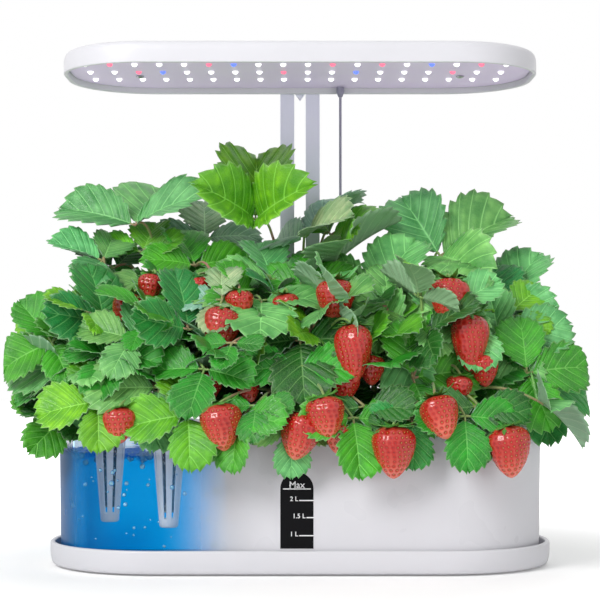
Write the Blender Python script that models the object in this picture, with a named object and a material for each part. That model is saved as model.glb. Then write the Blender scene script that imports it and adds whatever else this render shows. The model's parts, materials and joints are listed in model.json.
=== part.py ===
"""Countertop hydroponic garden with ten planted pods and a height-adjustable grow lamp.

The garden stands on z = 0 with its front facing -Y, and its origin is the centre of the
tray's underside. Lengths are in metres. A tray carries an oval water tank, the tank carries
a planting deck with ten net pods in three staggered rows, and a two-bar mast at the back of
the deck carries the lamp. Ten strawberry plants grow out of the pods.
"""

import math
import random

import bmesh
import bpy
from mathutils import Matrix, Vector
from mathutils.bvhtree import BVHTree
from mathutils.geometry import delaunay_2d_cdt

# Clearances and overruns that all pieces share
SEAT_GAP = 0.0003
RUNNING_GAP = 0.0003
OVERRUN = 0.001
CORNER_STEPS = 6
ROUND_STEPS = 10

# Base tray
TRAY_LENGTH = 0.344
TRAY_DEPTH = 0.161
TRAY_END_FLAT = 0.003
TRAY_CORNER = TRAY_DEPTH / 2 - TRAY_END_FLAT
TRAY_HEIGHT = 0.0163
TRAY_FLOOR = 0.0027
TRAY_UNDERSIDE_INSET = 0.0085
TRAY_LIP = 0.0034
TRAY_LIP_ROUND = 0.0011
PAD_RADIUS = 0.008
PAD_THICKNESS = 0.001
PAD_END_ROOM = 0.054
PAD_SIDE_ROOM = 0.0385
PAD_X = TRAY_LENGTH / 2 - PAD_END_ROOM
PAD_Y = TRAY_DEPTH / 2 - PAD_SIDE_ROOM

# Water tank, which drops into the tray's lip with some play
TANK_END_PLAY = 0.0029
TANK_SIDE_PLAY = 0.0001
TANK_LENGTH = TRAY_LENGTH - 2 * (TRAY_LIP + TANK_END_PLAY)
TANK_DEPTH = TRAY_DEPTH - 2 * (TRAY_LIP + TANK_SIDE_PLAY)
TANK_CORNER_INSET = 0.006
TANK_CORNER = TRAY_CORNER - TANK_CORNER_INSET
TANK_HEIGHT = 0.0897
TANK_WALL = 0.0024
TANK_FLOOR = 0.0026
TANK_DRAFT_INSET = 0.0014
TANK_EDGE_ROUND = 0.0022
TANK_BOTTOM = TRAY_FLOOR + SEAT_GAP
TANK_TOP = TANK_BOTTOM + TANK_HEIGHT

# Level window, a dark strip with an arched top let into the tank's front wall
WINDOW_X = -0.002
WINDOW_WIDTH = 0.0228
WINDOW_HEIGHT = 0.0515
WINDOW_ABOVE_TRAY = 0.0002
WINDOW_BOTTOM = TRAY_HEIGHT + WINDOW_ABOVE_TRAY
WINDOW_TOP = WINDOW_BOTTOM + WINDOW_HEIGHT
WINDOW_THICKNESS = 0.0009
WINDOW_LEDGE = 0.003

# Planting deck
DECK_THICKNESS = 0.003
DECK_EDGE_ROUND = 0.001
DECK_RIB_CLEARANCE = 0.0006
DECK_RIB_THICKNESS = 0.0016
DECK_RIB_HEIGHT = 0.0045
DECK_BOTTOM = TANK_TOP + SEAT_GAP
DECK_TOP = DECK_BOTTOM + DECK_THICKNESS

# Pods: three rows of holes, the middle one staggered by half a pitch
POD_ROW_COUNTS = (3, 4, 3)
POD_END_ROOM = 0.0337
POD_PITCH = (TANK_LENGTH - 2 * POD_END_ROOM) / (max(POD_ROW_COUNTS) - 1)
BASKET_HEIGHT = 0.0685
BASKET_TIP_RADIUS = 0.0064
BASKET_MOUTH_RADIUS = 0.0120
BASKET_FLANGE_RADIUS = 0.0145
BASKET_FLANGE_THICKNESS = 0.0012
BASKET_WALL = 0.0011
BASKET_HOLE_CLEARANCE = 0.0005
BASKET_TIP_Z = DECK_TOP - BASKET_HEIGHT
BASKET_STEPS = 8
SLOT_COUNT = 4
SLOT_WIDTH_TOP = 0.0034
SLOT_WIDTH_BOTTOM = 0.0018
SLOT_END_MARGIN = 0.006
SLOT_TOP_MARGIN = 0.016
SOIL_ABOVE_TIP = 0.010
SOIL_CLEARANCE = 0.0004

# Refill port's hinged lid
LID_OVERLAP = 0.0017
LID_THICKNESS = 0.0018
LID_CORNER = 0.0025
LID_KNUCKLE_RADIUS = 0.0022
LID_KNUCKLE_WIDTH = 0.008
LID_HINGE_SETBACK = 0.0024
LID_PIN_RADIUS = 0.0010
LID_PIN_Z = DECK_TOP + 0.0026
LID_EAR_WIDTH = 0.003
LID_EAR_RADIUS = 0.0024
LID_TAB_WIDTH = 0.008
LID_TAB_LENGTH = 0.0022

# Mast: two flat rails that slide in a twin sleeve standing on the deck
RAIL_WIDTH = 0.0103
RAIL_SPACE = 0.0085
RAIL_THICKNESS = 0.0040
RAIL_SETBACK = 0.0047
RAIL_Y = TANK_DEPTH / 2 - RAIL_SETBACK
RAIL_ENGAGEMENT = 0.080
SLEEVE_HEIGHT = 0.1087
SLEEVE_WALL = 0.0018
SLEEVE_FLOOR = 0.0024
SLEEVE_CORNER = 0.0012
SLEEVE_TOP = DECK_TOP + SEAT_GAP + SLEEVE_HEIGHT
RAIL_BOTTOM = SLEEVE_TOP - RAIL_ENGAGEMENT
SLEEVE_LENGTH = 2 * RAIL_WIDTH + RAIL_SPACE + 2 * (RUNNING_GAP + SLEEVE_WALL)
SLEEVE_DEPTH = RAIL_THICKNESS + 2 * (RUNNING_GAP + SLEEVE_WALL)

# Control housing behind the pods
HOUSING_LENGTH = 0.092
HOUSING_DEPTH = 0.0189
HOUSING_HEIGHT = 0.0157
HOUSING_BACK = RAIL_Y + SLEEVE_DEPTH / 2
HOUSING_FRONT = HOUSING_BACK - HOUSING_DEPTH
POD_TO_HOUSING = 0.003
POD_ROW_SPACING = HOUSING_FRONT - POD_TO_HOUSING - BASKET_FLANGE_RADIUS
HOUSING_CORNER = 0.003
HOUSING_WALL = 0.0018
HOUSING_EDGE_ROUND = 0.001
BUTTON_RADIUS = 0.0040
BUTTON_RISE = 0.0012
BUTTON_STROKE = 0.0015
BUTTON_FLANGE = 0.0012
BUTTON_FLANGE_THICKNESS = 0.0014
BUTTON_Y = (HOUSING_FRONT + HOUSING_BACK) / 2
POWER_BUTTON_X = -0.038
TIMER_BUTTON_X = -0.026
BOARD_THICKNESS = 0.0016
SWITCH_SIZE = 0.006
JACK_X = 0.036
JACK_RADIUS = 0.0040
JACK_BORE_RADIUS = 0.0027
JACK_PIN_RADIUS = 0.0008
JACK_LENGTH = 0.009
JACK_FLANGE_RADIUS = 0.0052
JACK_FLANGE_THICKNESS = 0.0012

# Refill port, between a middle pod's flange and the housing
PORT_FRONT_ROOM = 0.013
PORT_BACK_ROOM = 0.009
PORT_SIZE = HOUSING_FRONT - BASKET_FLANGE_RADIUS - PORT_FRONT_ROOM - PORT_BACK_ROOM
PORT_X = -POD_PITCH / 2
PORT_Y = BASKET_FLANGE_RADIUS + PORT_FRONT_ROOM + PORT_SIZE / 2

# Lamp
LAMP_LENGTH = 0.3263
LAMP_DEPTH = 0.140
LAMP_CORNER = 0.0585
LAMP_HEIGHT = 0.015
LAMP_RISE = 0.240
LAMP_BOTTOM = DECK_TOP + LAMP_RISE
LAMP_TOP = LAMP_BOTTOM + LAMP_HEIGHT
LAMP_Y = RAIL_Y - RAIL_THICKNESS / 2 - SEAT_GAP - LAMP_DEPTH / 2
LAMP_WALL = 0.0028
LAMP_ROOF = 0.0028
LAMP_TOP_ROUND = 0.0070
LAMP_LEDGE = 0.003
LED_BOARD_RECESS = 0.0043
LED_BOARD_THICKNESS = 0.0016
LED_BOARD_CLEARANCE = 0.0005
LED_COLUMNS = 18
LED_ROWS = 3
LED_COLUMN_PITCH = 0.016
LED_ROW_PITCH = 0.031
LED_SIZE = 0.0034
LED_HEIGHT = 0.0010
LAMP_SCREW_X = 0.113
LAMP_SCREW_Y = 0.012
LAMP_SCREW_RADIUS = 0.0013
LAMP_SCREW_HEAD_RADIUS = 0.003
LAMP_SCREW_HEAD = 0.0013
LAMP_SCREW_LENGTH = 0.0052
LAMP_BOSS_RADIUS = 0.0040
LED_BOARD_Z = LAMP_BOTTOM + LED_BOARD_RECESS
LAMP_LEDGE_Z = LED_BOARD_Z + LED_BOARD_THICKNESS + SEAT_GAP

# Bracket that joins the rails to the lamp's back
BRACKET_LENGTH = 0.0385
BRACKET_PLATE = 0.0024
BRACKET_TOP = LAMP_TOP - 0.0040
BRACKET_BOTTOM = LAMP_BOTTOM + 0.0014
BRACKET_TAB_TIP = LAMP_BOTTOM - 0.0042
RAIL_TOP = LAMP_TOP - 0.0055

# Lamp cord between the lamp's gland and the grommet on the housing
CORD_X = 0.0297
CORD_SETBACK = 0.0072
CORD_Y = LAMP_Y + LAMP_DEPTH / 2 - CORD_SETBACK
CORD_RADIUS = 0.00095
CORD_POINTS = 40
GLAND_REACH = 0.0030
GLAND_TIP_Z = LAMP_BOTTOM - GLAND_REACH
GLAND_TIP_RADIUS = 0.0016
GLAND_BASE_RADIUS = 0.0031
GLAND_STEM_RADIUS = 0.0024
GROMMET_RADIUS = 0.0042
GROMMET_STEM_RADIUS = 0.0029
GROMMET_HEIGHT = 0.0013

# Pump that hangs under the deck
PUMP_X = POD_PITCH / 2
PUMP_SETBACK = 0.002
PUMP_Y = POD_ROW_SPACING + PUMP_SETBACK
PUMP_WIDTH = 0.030
PUMP_DEPTH = 0.026
PUMP_HEIGHT = 0.030
PUMP_FLOOR_GAP = 0.0029
PUMP_BOTTOM = TANK_BOTTOM + TANK_FLOOR + PUMP_FLOOR_GAP
PUMP_CORNER = 0.004
PUMP_COVER = 0.0024
VOLUTE_RADIUS = 0.0105
VOLUTE_DEPTH = 0.0085
IMPELLER_RADIUS = 0.0092
IMPELLER_HUB_RADIUS = 0.0030
IMPELLER_BLADE = 0.0012
IMPELLER_BLADES = 5
IMPELLER_SHAFT_RADIUS = 0.0012
IMPELLER_SHAFT_REACH = 0.006
COVER_SLITS = 5
COVER_SLIT_WIDTH = 0.0018
RISER_RADIUS = 0.0040
RISER_BORE_RADIUS = 0.0028
RISER_FLANGE_RADIUS = 0.0065
RISER_FLANGE_THICKNESS = 0.0015

# Strawberry plants, whose leaves and berries are placed by shares of the canopy's reach
CANOPY_END_OVERHANG = 0.0343
CANOPY_FRONT_OVERHANG = 0.028
CANOPY_HALF_LENGTH = TANK_LENGTH / 2 + CANOPY_END_OVERHANG
CANOPY_HALF_DEPTH = TANK_DEPTH / 2 + CANOPY_FRONT_OVERHANG
CANOPY_RISE = 0.200
CROWN_RADIUS = 0.0085
CROWN_HEIGHT = 0.006
LEAFLET_LENGTH = 0.050
LEAFLET_WIDTH_SHARE = 0.64
LEAF_THICKNESS = 0.0012
JOINT_LENGTH = 0.0030
STEM_RADIUS = 0.0008
STEM_UPRIGHT = 0.006
STEM_ARCH = 0.020
STEM_KNEE_SHARE = 0.42
BERRY_STEM_RADIUS = 0.0009
BERRY_LENGTH_SHARE = 2.25
PLANT_CLEARANCE = 0.00025
CANOPY_TIP_REACH = 0.011
CANOPY_FRONT = CANOPY_HALF_DEPTH + CANOPY_TIP_REACH
NUDGE = 0.010
NUDGE_TRIES = 1500
FRONT_BERRIES = 12
LEAST_SIZE_SHARE = 0.6
TURN_STEP = 18
DEPTH_NUDGE_SHARE = 2.2
LID_SWEEP = 0.030


# Materials


def material(name, colour, roughness, metallic=0.0):
    """A plain material in the part's own colour."""
    made = bpy.data.materials.new(name)
    made.use_nodes = True
    surface = made.node_tree.nodes["Principled BSDF"]
    surface.inputs["Base Color"].default_value = (*colour, 1.0)
    surface.inputs["Roughness"].default_value = roughness
    surface.inputs["Metallic"].default_value = metallic
    made.diffuse_color = (*colour, 1.0)
    return made


def all_materials():
    """Every finish of the garden by name."""
    return {
        "white_plastic": material("white_plastic", (0.80, 0.80, 0.83), 0.25),
        "clear_plastic": material("clear_plastic", (0.75, 0.80, 0.84), 0.15),
        "black_plastic": material("black_plastic", (0.01, 0.01, 0.012), 0.2),
        "grey_panel": material("grey_panel", (0.42, 0.43, 0.52), 0.45),
        "satin_aluminium": material("satin_aluminium", (0.62, 0.62, 0.70), 0.35, 0.6),
        "steel": material("steel", (0.55, 0.55, 0.58), 0.3, 1.0),
        "rubber": material("rubber", (0.03, 0.03, 0.03), 0.8),
        "cord": material("cord", (0.35, 0.34, 0.42), 0.5),
        "circuit_board": material("circuit_board", (0.03, 0.20, 0.08), 0.5),
        "soil": material("soil", (0.06, 0.04, 0.03), 0.95),
        "plant": material("plant", (0.10, 0.38, 0.06), 0.5),
    }


# Mesh helpers


def clear_scene():
    """Removes whatever the file opened with."""
    for old in list(bpy.data.objects):
        bpy.data.objects.remove(old, do_unlink=True)


def outline(length, depth, corner, inset=0.0, steps=CORNER_STEPS):
    """Points of a rounded rectangle, counter-clockwise, drawn in by the inset."""
    half_x = length / 2 - inset
    half_y = depth / 2 - inset
    radius = min(max(corner - inset, corner / 8), half_x, half_y)
    points = []
    for quarter, (sx, sy) in enumerate(((1, 1), (-1, 1), (-1, -1), (1, -1))):
        centre = Vector((sx * (half_x - radius), sy * (half_y - radius)))
        for step in range(steps + 1):
            angle = math.pi / 2 * (quarter + step / steps)
            points.append(centre + radius * Vector((math.cos(angle), math.sin(angle))))
    return points


def circle(radius, steps=ROUND_STEPS):
    """Points of a round outline, with a flat side facing each axis."""
    angles = [2 * math.pi * (k + 0.5) / steps for k in range(steps)]
    return [Vector((radius * math.cos(a), radius * math.sin(a))) for a in angles]


def loft(rings):
    """A closed mesh through rings of points, with a flat cap at each end."""
    mesh = bmesh.new()
    rows = [[mesh.verts.new(point) for point in ring] for ring in rings]
    for low, high in zip(rows, rows[1:]):
        count = len(low)
        for k in range(count):
            n = (k + 1) % count
            mesh.faces.new((low[k], low[n], high[n], high[k]))
    mesh.faces.new(list(reversed(rows[0])))
    mesh.faces.new(rows[-1])
    bmesh.ops.recalc_face_normals(mesh, faces=mesh.faces)
    return mesh


def raised(points, z):
    """An outline's points lifted to a height."""
    return [Vector((p.x, p.y, z)) for p in points]


def stack(length, depth, corner, profile, steps=CORNER_STEPS):
    """A closed mesh whose rounded outline follows a profile of insets and heights."""
    return loft([raised(outline(length, depth, corner, inset, steps), z) for inset, z in profile])


def turned(profile, steps=ROUND_STEPS):
    """A closed mesh turned about Z through a profile of radii and heights."""
    return loft([raised(circle(radius, steps), z) for radius, z in profile])


def block(size, centre, corner=0.0):
    """A box with rounded upright edges where a corner radius is given."""
    low, high = centre[2] - size[2] / 2, centre[2] + size[2] / 2
    if corner:
        points = outline(size[0], size[1], corner, 0.0, 2)
    else:
        half = (size[0] / 2, size[1] / 2)
        points = [Vector((sx * half[0], sy * half[1])) for sx, sy in ((1, 1), (-1, 1), (-1, -1), (1, -1))]
    points = [p + Vector(centre[:2]) for p in points]
    return loft([raised(points, low), raised(points, high)])


def moved(mesh, offset, turn=None):
    """Turns a mesh about the origin, if a turn is given, and then shifts it."""
    if turn is not None:
        bmesh.ops.transform(mesh, matrix=turn, verts=mesh.verts)
    bmesh.ops.translate(mesh, vec=Vector(offset), verts=mesh.verts)
    return mesh


def as_object(name, mesh, finish=None, origin=(0.0, 0.0, 0.0), smooth=True):
    """Turns a bmesh in world coordinates into an object whose origin is where it is told."""
    data = bpy.data.meshes.new(name)
    bmesh.ops.translate(mesh, vec=-Vector(origin), verts=mesh.verts)
    mesh.to_mesh(data)
    mesh.free()
    made = bpy.data.objects.new(name, data)
    made.location = origin
    bpy.context.collection.objects.link(made)
    if finish is not None:
        data.materials.append(finish)
    if smooth:
        data.shade_smooth()
        data.set_sharp_from_angle(angle=math.radians(35))
    return made


def combine(target, tools, operation):
    """Applies one exact Boolean of all the tools to the target, and removes the tools."""
    group = bpy.data.collections.new("tools")
    helpers = [as_object("tool", mesh, smooth=False) for mesh in tools]
    for helper in helpers:
        group.objects.link(helper)
    step = target.modifiers.new("combine", "BOOLEAN")
    step.operation = operation
    step.solver = "EXACT"
    step.operand_type = "COLLECTION"
    step.collection = group
    bpy.context.view_layer.update()
    graph = bpy.context.evaluated_depsgraph_get()
    result = bpy.data.meshes.new_from_object(target.evaluated_get(graph))
    target.modifiers.remove(step)
    finishes = list(target.data.materials)
    target.data = result
    target.data.materials.clear()
    for finish in finishes:
        target.data.materials.append(finish)
    for helper in helpers:
        bpy.data.objects.remove(helper, do_unlink=True)
    bpy.data.collections.remove(group)
    return target


def cut(target, *tools):
    """Cuts the tools out of the target."""
    return combine(target, tools, "DIFFERENCE")


def join(target, *tools):
    """Joins the tools to the target."""
    return combine(target, tools, "UNION")


# Base tray with its four pads


def pad_places():
    """The four pads' centres under the tray."""
    return [Vector((sx * PAD_X, sy * PAD_Y, 0.0)) for sx in (-1, 1) for sy in (-1, 1)]


def base_tray(finish):
    """A shallow oval tray with a rounded lower edge and an upstanding lip."""
    lip_inner = TRAY_LIP + TRAY_FLOOR / 2
    profile = [
        (TRAY_UNDERSIDE_INSET, 0.0),
        (TRAY_UNDERSIDE_INSET * 0.27, TRAY_HEIGHT * 0.13),
        (0.0, TRAY_HEIGHT / 2),
        (0.0, TRAY_HEIGHT - TRAY_LIP_ROUND),
        (TRAY_LIP_ROUND, TRAY_HEIGHT),
        (TRAY_LIP - TRAY_LIP_ROUND, TRAY_HEIGHT),
        (TRAY_LIP, TRAY_HEIGHT - TRAY_LIP_ROUND),
        (TRAY_LIP, TRAY_FLOOR * 1.6),
        (lip_inner, TRAY_FLOOR),
    ]
    tray = as_object("base_tray", stack(TRAY_LENGTH, TRAY_DEPTH, TRAY_CORNER, profile), finish)
    pocket_radius = PAD_RADIUS + SEAT_GAP
    pocket_depth = PAD_THICKNESS + SEAT_GAP
    pockets = []
    for place in pad_places():
        pocket = turned([(pocket_radius, -OVERRUN), (pocket_radius, pocket_depth)])
        pockets.append(moved(pocket, place))
    return cut(tray, *pockets)


def pads(finish):
    """Round grip pads let into the tray's underside, flush with it."""
    for number, place in enumerate(pad_places(), 1):
        pad = turned([(PAD_RADIUS, 0.0), (PAD_RADIUS, PAD_THICKNESS)])
        as_object(f"grip_pad_{number}", moved(pad, place), finish, place)


# Water tank and its level window


def wall_turn():
    """The lean of the tank's wall, which opens towards the top."""
    return Matrix.Rotation(math.atan2(TANK_DRAFT_INSET, TANK_HEIGHT), 4, "X")


def arch(width, low, high, near, far):
    """An upright plate with a half-round top, from one depth to another behind the wall's face."""
    half = width / 2
    points = [Vector((-half, low)), Vector((half, low))]
    for step in range(ROUND_STEPS + 1):
        angle = math.pi * step / ROUND_STEPS
        points.append(Vector((half * math.cos(angle), high - half + half * math.sin(angle))))
    rings = [[Vector((p.x, y, p.y)) for p in points] for y in (near, far)]
    face = Vector((WINDOW_X, -(TANK_DEPTH / 2 - TANK_DRAFT_INSET), TANK_BOTTOM))
    return moved(loft(rings), face, wall_turn())


def tank(finish):
    """The oval tank, open at the top, with the window's recess and slot in its front."""
    wall_at_floor = TANK_DRAFT_INSET + TANK_WALL
    profile = [
        (TANK_DRAFT_INSET + TANK_EDGE_ROUND, TANK_BOTTOM),
        (TANK_DRAFT_INSET, TANK_BOTTOM + TANK_EDGE_ROUND),
        (0.0, TANK_TOP),
        (TANK_WALL, TANK_TOP),
        (wall_at_floor, TANK_BOTTOM + TANK_FLOOR + TANK_EDGE_ROUND),
        (wall_at_floor + TANK_EDGE_ROUND, TANK_BOTTOM + TANK_FLOOR),
    ]
    body = as_object("tank", stack(TANK_LENGTH, TANK_DEPTH, TANK_CORNER, profile), finish)
    low = WINDOW_BOTTOM - TANK_BOTTOM
    high = WINDOW_TOP - TANK_BOTTOM
    depth = WINDOW_THICKNESS + SEAT_GAP
    recess_width = WINDOW_WIDTH + 2 * SEAT_GAP
    recess = arch(recess_width, low - SEAT_GAP, high + SEAT_GAP, -OVERRUN, depth)
    slot_width = WINDOW_WIDTH - 2 * WINDOW_LEDGE
    slot = arch(slot_width, low + WINDOW_LEDGE, high - WINDOW_LEDGE, 0.0, TANK_WALL + OVERRUN)
    return cut(body, recess, slot)


def level_window(finish):
    """The dark strip that shows the water level."""
    low = WINDOW_BOTTOM - TANK_BOTTOM
    high = WINDOW_TOP - TANK_BOTTOM
    as_object("level_window", arch(WINDOW_WIDTH, low, high, 0.0, WINDOW_THICKNESS), finish)


# Planting deck


def pod_places():
    """The ten pods' centres, front row first."""
    places = []
    for row, count in enumerate(POD_ROW_COUNTS):
        for k in range(count):
            x = (k - (count - 1) / 2) * POD_PITCH
            places.append(Vector((x, (row - 1) * POD_ROW_SPACING, 0.0)))
    return places


def lid_hinge():
    """The middle of the lid's hinge axis."""
    back = PORT_SIZE / 2 + LID_OVERLAP + LID_HINGE_SETBACK
    return Vector((PORT_X, PORT_Y + back, LID_PIN_Z))


def hinge_bar(radius, width, centre_x, y, z):
    """A round bar along X, as used for hinge knuckles and pins."""
    bar = turned([(radius, -width / 2), (radius, width / 2)])
    return moved(bar, (centre_x, y, z), Matrix.Rotation(math.pi / 2, 4, "Y"))


def deck(finish):
    """The lid of the tank, with ten pod holes, the refill port and the lid's two ears."""
    rib_outer = TANK_WALL + DECK_RIB_CLEARANCE
    rib_inner = rib_outer + DECK_RIB_THICKNESS
    profile = [
        (rib_inner, DECK_BOTTOM),
        (rib_inner, DECK_BOTTOM - DECK_RIB_HEIGHT),
        (rib_outer, DECK_BOTTOM - DECK_RIB_HEIGHT),
        (rib_outer, DECK_BOTTOM),
        (0.0, DECK_BOTTOM),
        (0.0, DECK_TOP - DECK_EDGE_ROUND),
        (DECK_EDGE_ROUND, DECK_TOP),
    ]
    body = as_object("deck", stack(TANK_LENGTH, TANK_DEPTH, TANK_CORNER, profile), finish)
    hole_radius = BASKET_MOUTH_RADIUS + BASKET_HOLE_CLEARANCE
    hole_profile = [(hole_radius, DECK_BOTTOM - OVERRUN), (hole_radius, DECK_TOP + OVERRUN)]
    holes = [moved(turned(hole_profile, BASKET_STEPS), place) for place in pod_places()]
    middle = (DECK_BOTTOM + DECK_TOP) / 2
    size = (PORT_SIZE, PORT_SIZE, DECK_THICKNESS + 2 * OVERRUN)
    holes.append(block(size, (PORT_X, PORT_Y, middle), LID_CORNER))
    cut(body, *holes)
    hinge = lid_hinge()
    ears = []
    for side in (-1, 1):
        x = hinge.x + side * (LID_KNUCKLE_WIDTH / 2 + RUNNING_GAP + LID_EAR_WIDTH / 2)
        ears.append(hinge_bar(LID_EAR_RADIUS, LID_EAR_WIDTH, x, hinge.y, hinge.z))
        post_height = LID_PIN_Z - DECK_BOTTOM - DECK_THICKNESS / 2
        post_size = (LID_EAR_WIDTH, 2 * LID_EAR_RADIUS, post_height)
        ears.append(block(post_size, (x, hinge.y, LID_PIN_Z - post_height / 2)))
    join(body, *ears)
    bore_width = LID_KNUCKLE_WIDTH + 2 * LID_EAR_WIDTH + 4 * RUNNING_GAP
    bore = hinge_bar(LID_PIN_RADIUS + RUNNING_GAP, bore_width, hinge.x, hinge.y, hinge.z)
    return cut(body, bore)


def fill_lid(finish):
    """The square lid over the refill port, with its knuckle and finger tab."""
    hinge = lid_hinge()
    side = PORT_SIZE + 2 * LID_OVERLAP
    bottom = DECK_TOP + SEAT_GAP
    middle = bottom + LID_THICKNESS / 2
    plate = block((side, side, LID_THICKNESS), (PORT_X, PORT_Y, middle), LID_CORNER)
    lid = as_object("fill_lid", plate, finish)
    arm_length = LID_HINGE_SETBACK + LID_OVERLAP
    arm_y = hinge.y - arm_length / 2
    arm = block((LID_KNUCKLE_WIDTH, arm_length, LID_THICKNESS), (PORT_X, arm_y, middle))
    knuckle = hinge_bar(LID_KNUCKLE_RADIUS, LID_KNUCKLE_WIDTH, hinge.x, hinge.y, hinge.z)
    tab_y = PORT_Y - side / 2
    tab = block((LID_TAB_WIDTH, 2 * LID_TAB_LENGTH, LID_THICKNESS), (PORT_X, tab_y, middle), LID_THICKNESS)
    join(lid, arm, knuckle, tab)
    bore = hinge_bar(LID_PIN_RADIUS + RUNNING_GAP, LID_KNUCKLE_WIDTH + OVERRUN, hinge.x, hinge.y, hinge.z)
    cut(lid, bore)
    lid.data.transform(Matrix.Translation(-hinge))
    lid.location = hinge


def fill_lid_pin(finish):
    """The pin that the lid turns on, held by the deck's two ears."""
    hinge = lid_hinge()
    length = LID_KNUCKLE_WIDTH + 2 * LID_EAR_WIDTH + 2 * RUNNING_GAP
    pin = hinge_bar(LID_PIN_RADIUS, length, hinge.x, hinge.y, hinge.z)
    as_object("fill_lid_pin", pin, finish, hinge)


# Net pods with their growing medium


def basket_radius(z):
    """The outside radius of a basket at a height."""
    share = (z - BASKET_TIP_Z) / (DECK_TOP - BASKET_TIP_Z)
    return BASKET_TIP_RADIUS + share * (BASKET_MOUTH_RADIUS - BASKET_TIP_RADIUS)


def basket_mesh():
    """One basket about Z: a tapering cup with a flange that rests on the deck."""
    flange_low = DECK_TOP + SEAT_GAP
    flange_high = flange_low + BASKET_FLANGE_THICKNESS
    profile = [
        (BASKET_TIP_RADIUS - BASKET_WALL, BASKET_TIP_Z),
        (BASKET_TIP_RADIUS, BASKET_TIP_Z + BASKET_WALL),
        (BASKET_MOUTH_RADIUS, flange_low),
        (BASKET_FLANGE_RADIUS, flange_low),
        (BASKET_FLANGE_RADIUS, flange_high),
        (BASKET_MOUTH_RADIUS - BASKET_WALL, flange_high),
        (BASKET_TIP_RADIUS - BASKET_WALL, BASKET_TIP_Z + BASKET_WALL),
    ]
    return turned(profile, BASKET_STEPS)


def slot_cutter(angle):
    """A long wedge through one wall, wider at the top, for the water to come in."""
    low = BASKET_TIP_Z + SLOT_END_MARGIN
    high = DECK_BOTTOM - SLOT_TOP_MARGIN
    rings = []
    for z, width in ((low, SLOT_WIDTH_BOTTOM), (high, SLOT_WIDTH_TOP)):
        near, far = BASKET_TIP_RADIUS / 2, BASKET_MOUTH_RADIUS
        rings.append([Vector((x, y, z)) for x, y in (
            (near, -width / 2), (far, -width / 2), (far, width / 2), (near, width / 2))])
    return moved(loft(rings), (0.0, 0.0, 0.0), Matrix.Rotation(angle, 4, "Z"))


def baskets(finish):
    """The ten baskets, which share one slotted mesh."""
    first = as_object("basket_1", basket_mesh(), finish)
    front = -math.pi / 2
    slots = [slot_cutter(front + 2 * math.pi * k / SLOT_COUNT) for k in range(SLOT_COUNT)]
    cut(first, *slots)
    places = pod_places()
    first.location = places[0]
    for number, place in enumerate(places[1:], 2):
        copy = bpy.data.objects.new(f"basket_{number}", first.data)
        copy.location = place
        bpy.context.collection.objects.link(copy)


def growing_medium(finish):
    """The peat and granules that fill each basket, up to the plant's crown."""
    shrink = BASKET_WALL + SOIL_CLEARANCE
    bottom = BASKET_TIP_Z + SOIL_ABOVE_TIP
    top = DECK_TOP + SEAT_GAP
    profile = [(basket_radius(z) - shrink, z) for z in (bottom, top)]
    mesh = turned(profile, BASKET_STEPS)
    first = as_object("growing_medium_1", mesh, finish)
    places = pod_places()
    first.location = places[0]
    for number, place in enumerate(places[1:], 2):
        copy = bpy.data.objects.new(f"growing_medium_{number}", first.data)
        copy.location = place
        bpy.context.collection.objects.link(copy)


# Control housing, buttons, board and inlet


def button_places():
    """The two buttons by name."""
    return {"power_button": POWER_BUTTON_X, "timer_button": TIMER_BUTTON_X}


def housing_levels():
    """The heights of the housing's bottom edge and of its top."""
    bottom = DECK_TOP + SEAT_GAP
    return bottom, bottom + HOUSING_HEIGHT


def control_housing(finish):
    """A low box open below, notched round the sleeve, with holes for buttons, cord and inlet."""
    bottom, top = housing_levels()
    depth = HOUSING_DEPTH
    middle_y = (HOUSING_BACK + HOUSING_FRONT) / 2
    profile = [(0.0, bottom), (0.0, top - HOUSING_EDGE_ROUND), (HOUSING_EDGE_ROUND, top)]
    shell = stack(HOUSING_LENGTH, depth, HOUSING_CORNER, profile, 3)
    housing = as_object("control_housing", moved(shell, (0.0, middle_y, 0.0)), finish)
    inner_low = bottom - OVERRUN
    inner_high = top - HOUSING_WALL
    inner_size = (HOUSING_LENGTH - 2 * HOUSING_WALL, depth - 2 * HOUSING_WALL, inner_high - inner_low)
    inner = block(inner_size, (0.0, middle_y, (inner_low + inner_high) / 2), HOUSING_CORNER - HOUSING_WALL)
    cut(housing, inner)
    notch_front = RAIL_Y - SLEEVE_DEPTH / 2 - SEAT_GAP
    notch_depth = HOUSING_BACK + OVERRUN - notch_front
    notch_height = HOUSING_HEIGHT + 2 * OVERRUN
    notch = block(
        (SLEEVE_LENGTH + 2 * SEAT_GAP, notch_depth, notch_height),
        (0.0, notch_front + notch_depth / 2, (bottom + top) / 2),
    )
    holes = [notch]
    for x in button_places().values():
        radius = BUTTON_RADIUS + RUNNING_GAP
        hole = turned([(radius, inner_high - OVERRUN), (radius, top + OVERRUN)])
        holes.append(moved(hole, (x, BUTTON_Y, 0.0)))
    radius = GROMMET_STEM_RADIUS + SEAT_GAP
    hole = turned([(radius, inner_high - OVERRUN), (radius, top + OVERRUN)])
    holes.append(moved(hole, (CORD_X, CORD_Y, 0.0)))
    wall_front = HOUSING_BACK - HOUSING_WALL
    holes.append(inlet_bar(JACK_RADIUS + SEAT_GAP, wall_front - OVERRUN, HOUSING_BACK + OVERRUN))
    return cut(housing, *holes)


def jack_height():
    """The height of the inlet's axis, half way up the housing."""
    bottom, top = housing_levels()
    return (bottom + top - HOUSING_WALL) / 2


def inlet_bar(radius, near, far):
    """A round bar along Y on the inlet's axis."""
    bar = turned([(radius, near), (radius, far)])
    return moved(bar, (JACK_X, 0.0, jack_height()), Matrix.Rotation(-math.pi / 2, 4, "X"))


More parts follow.
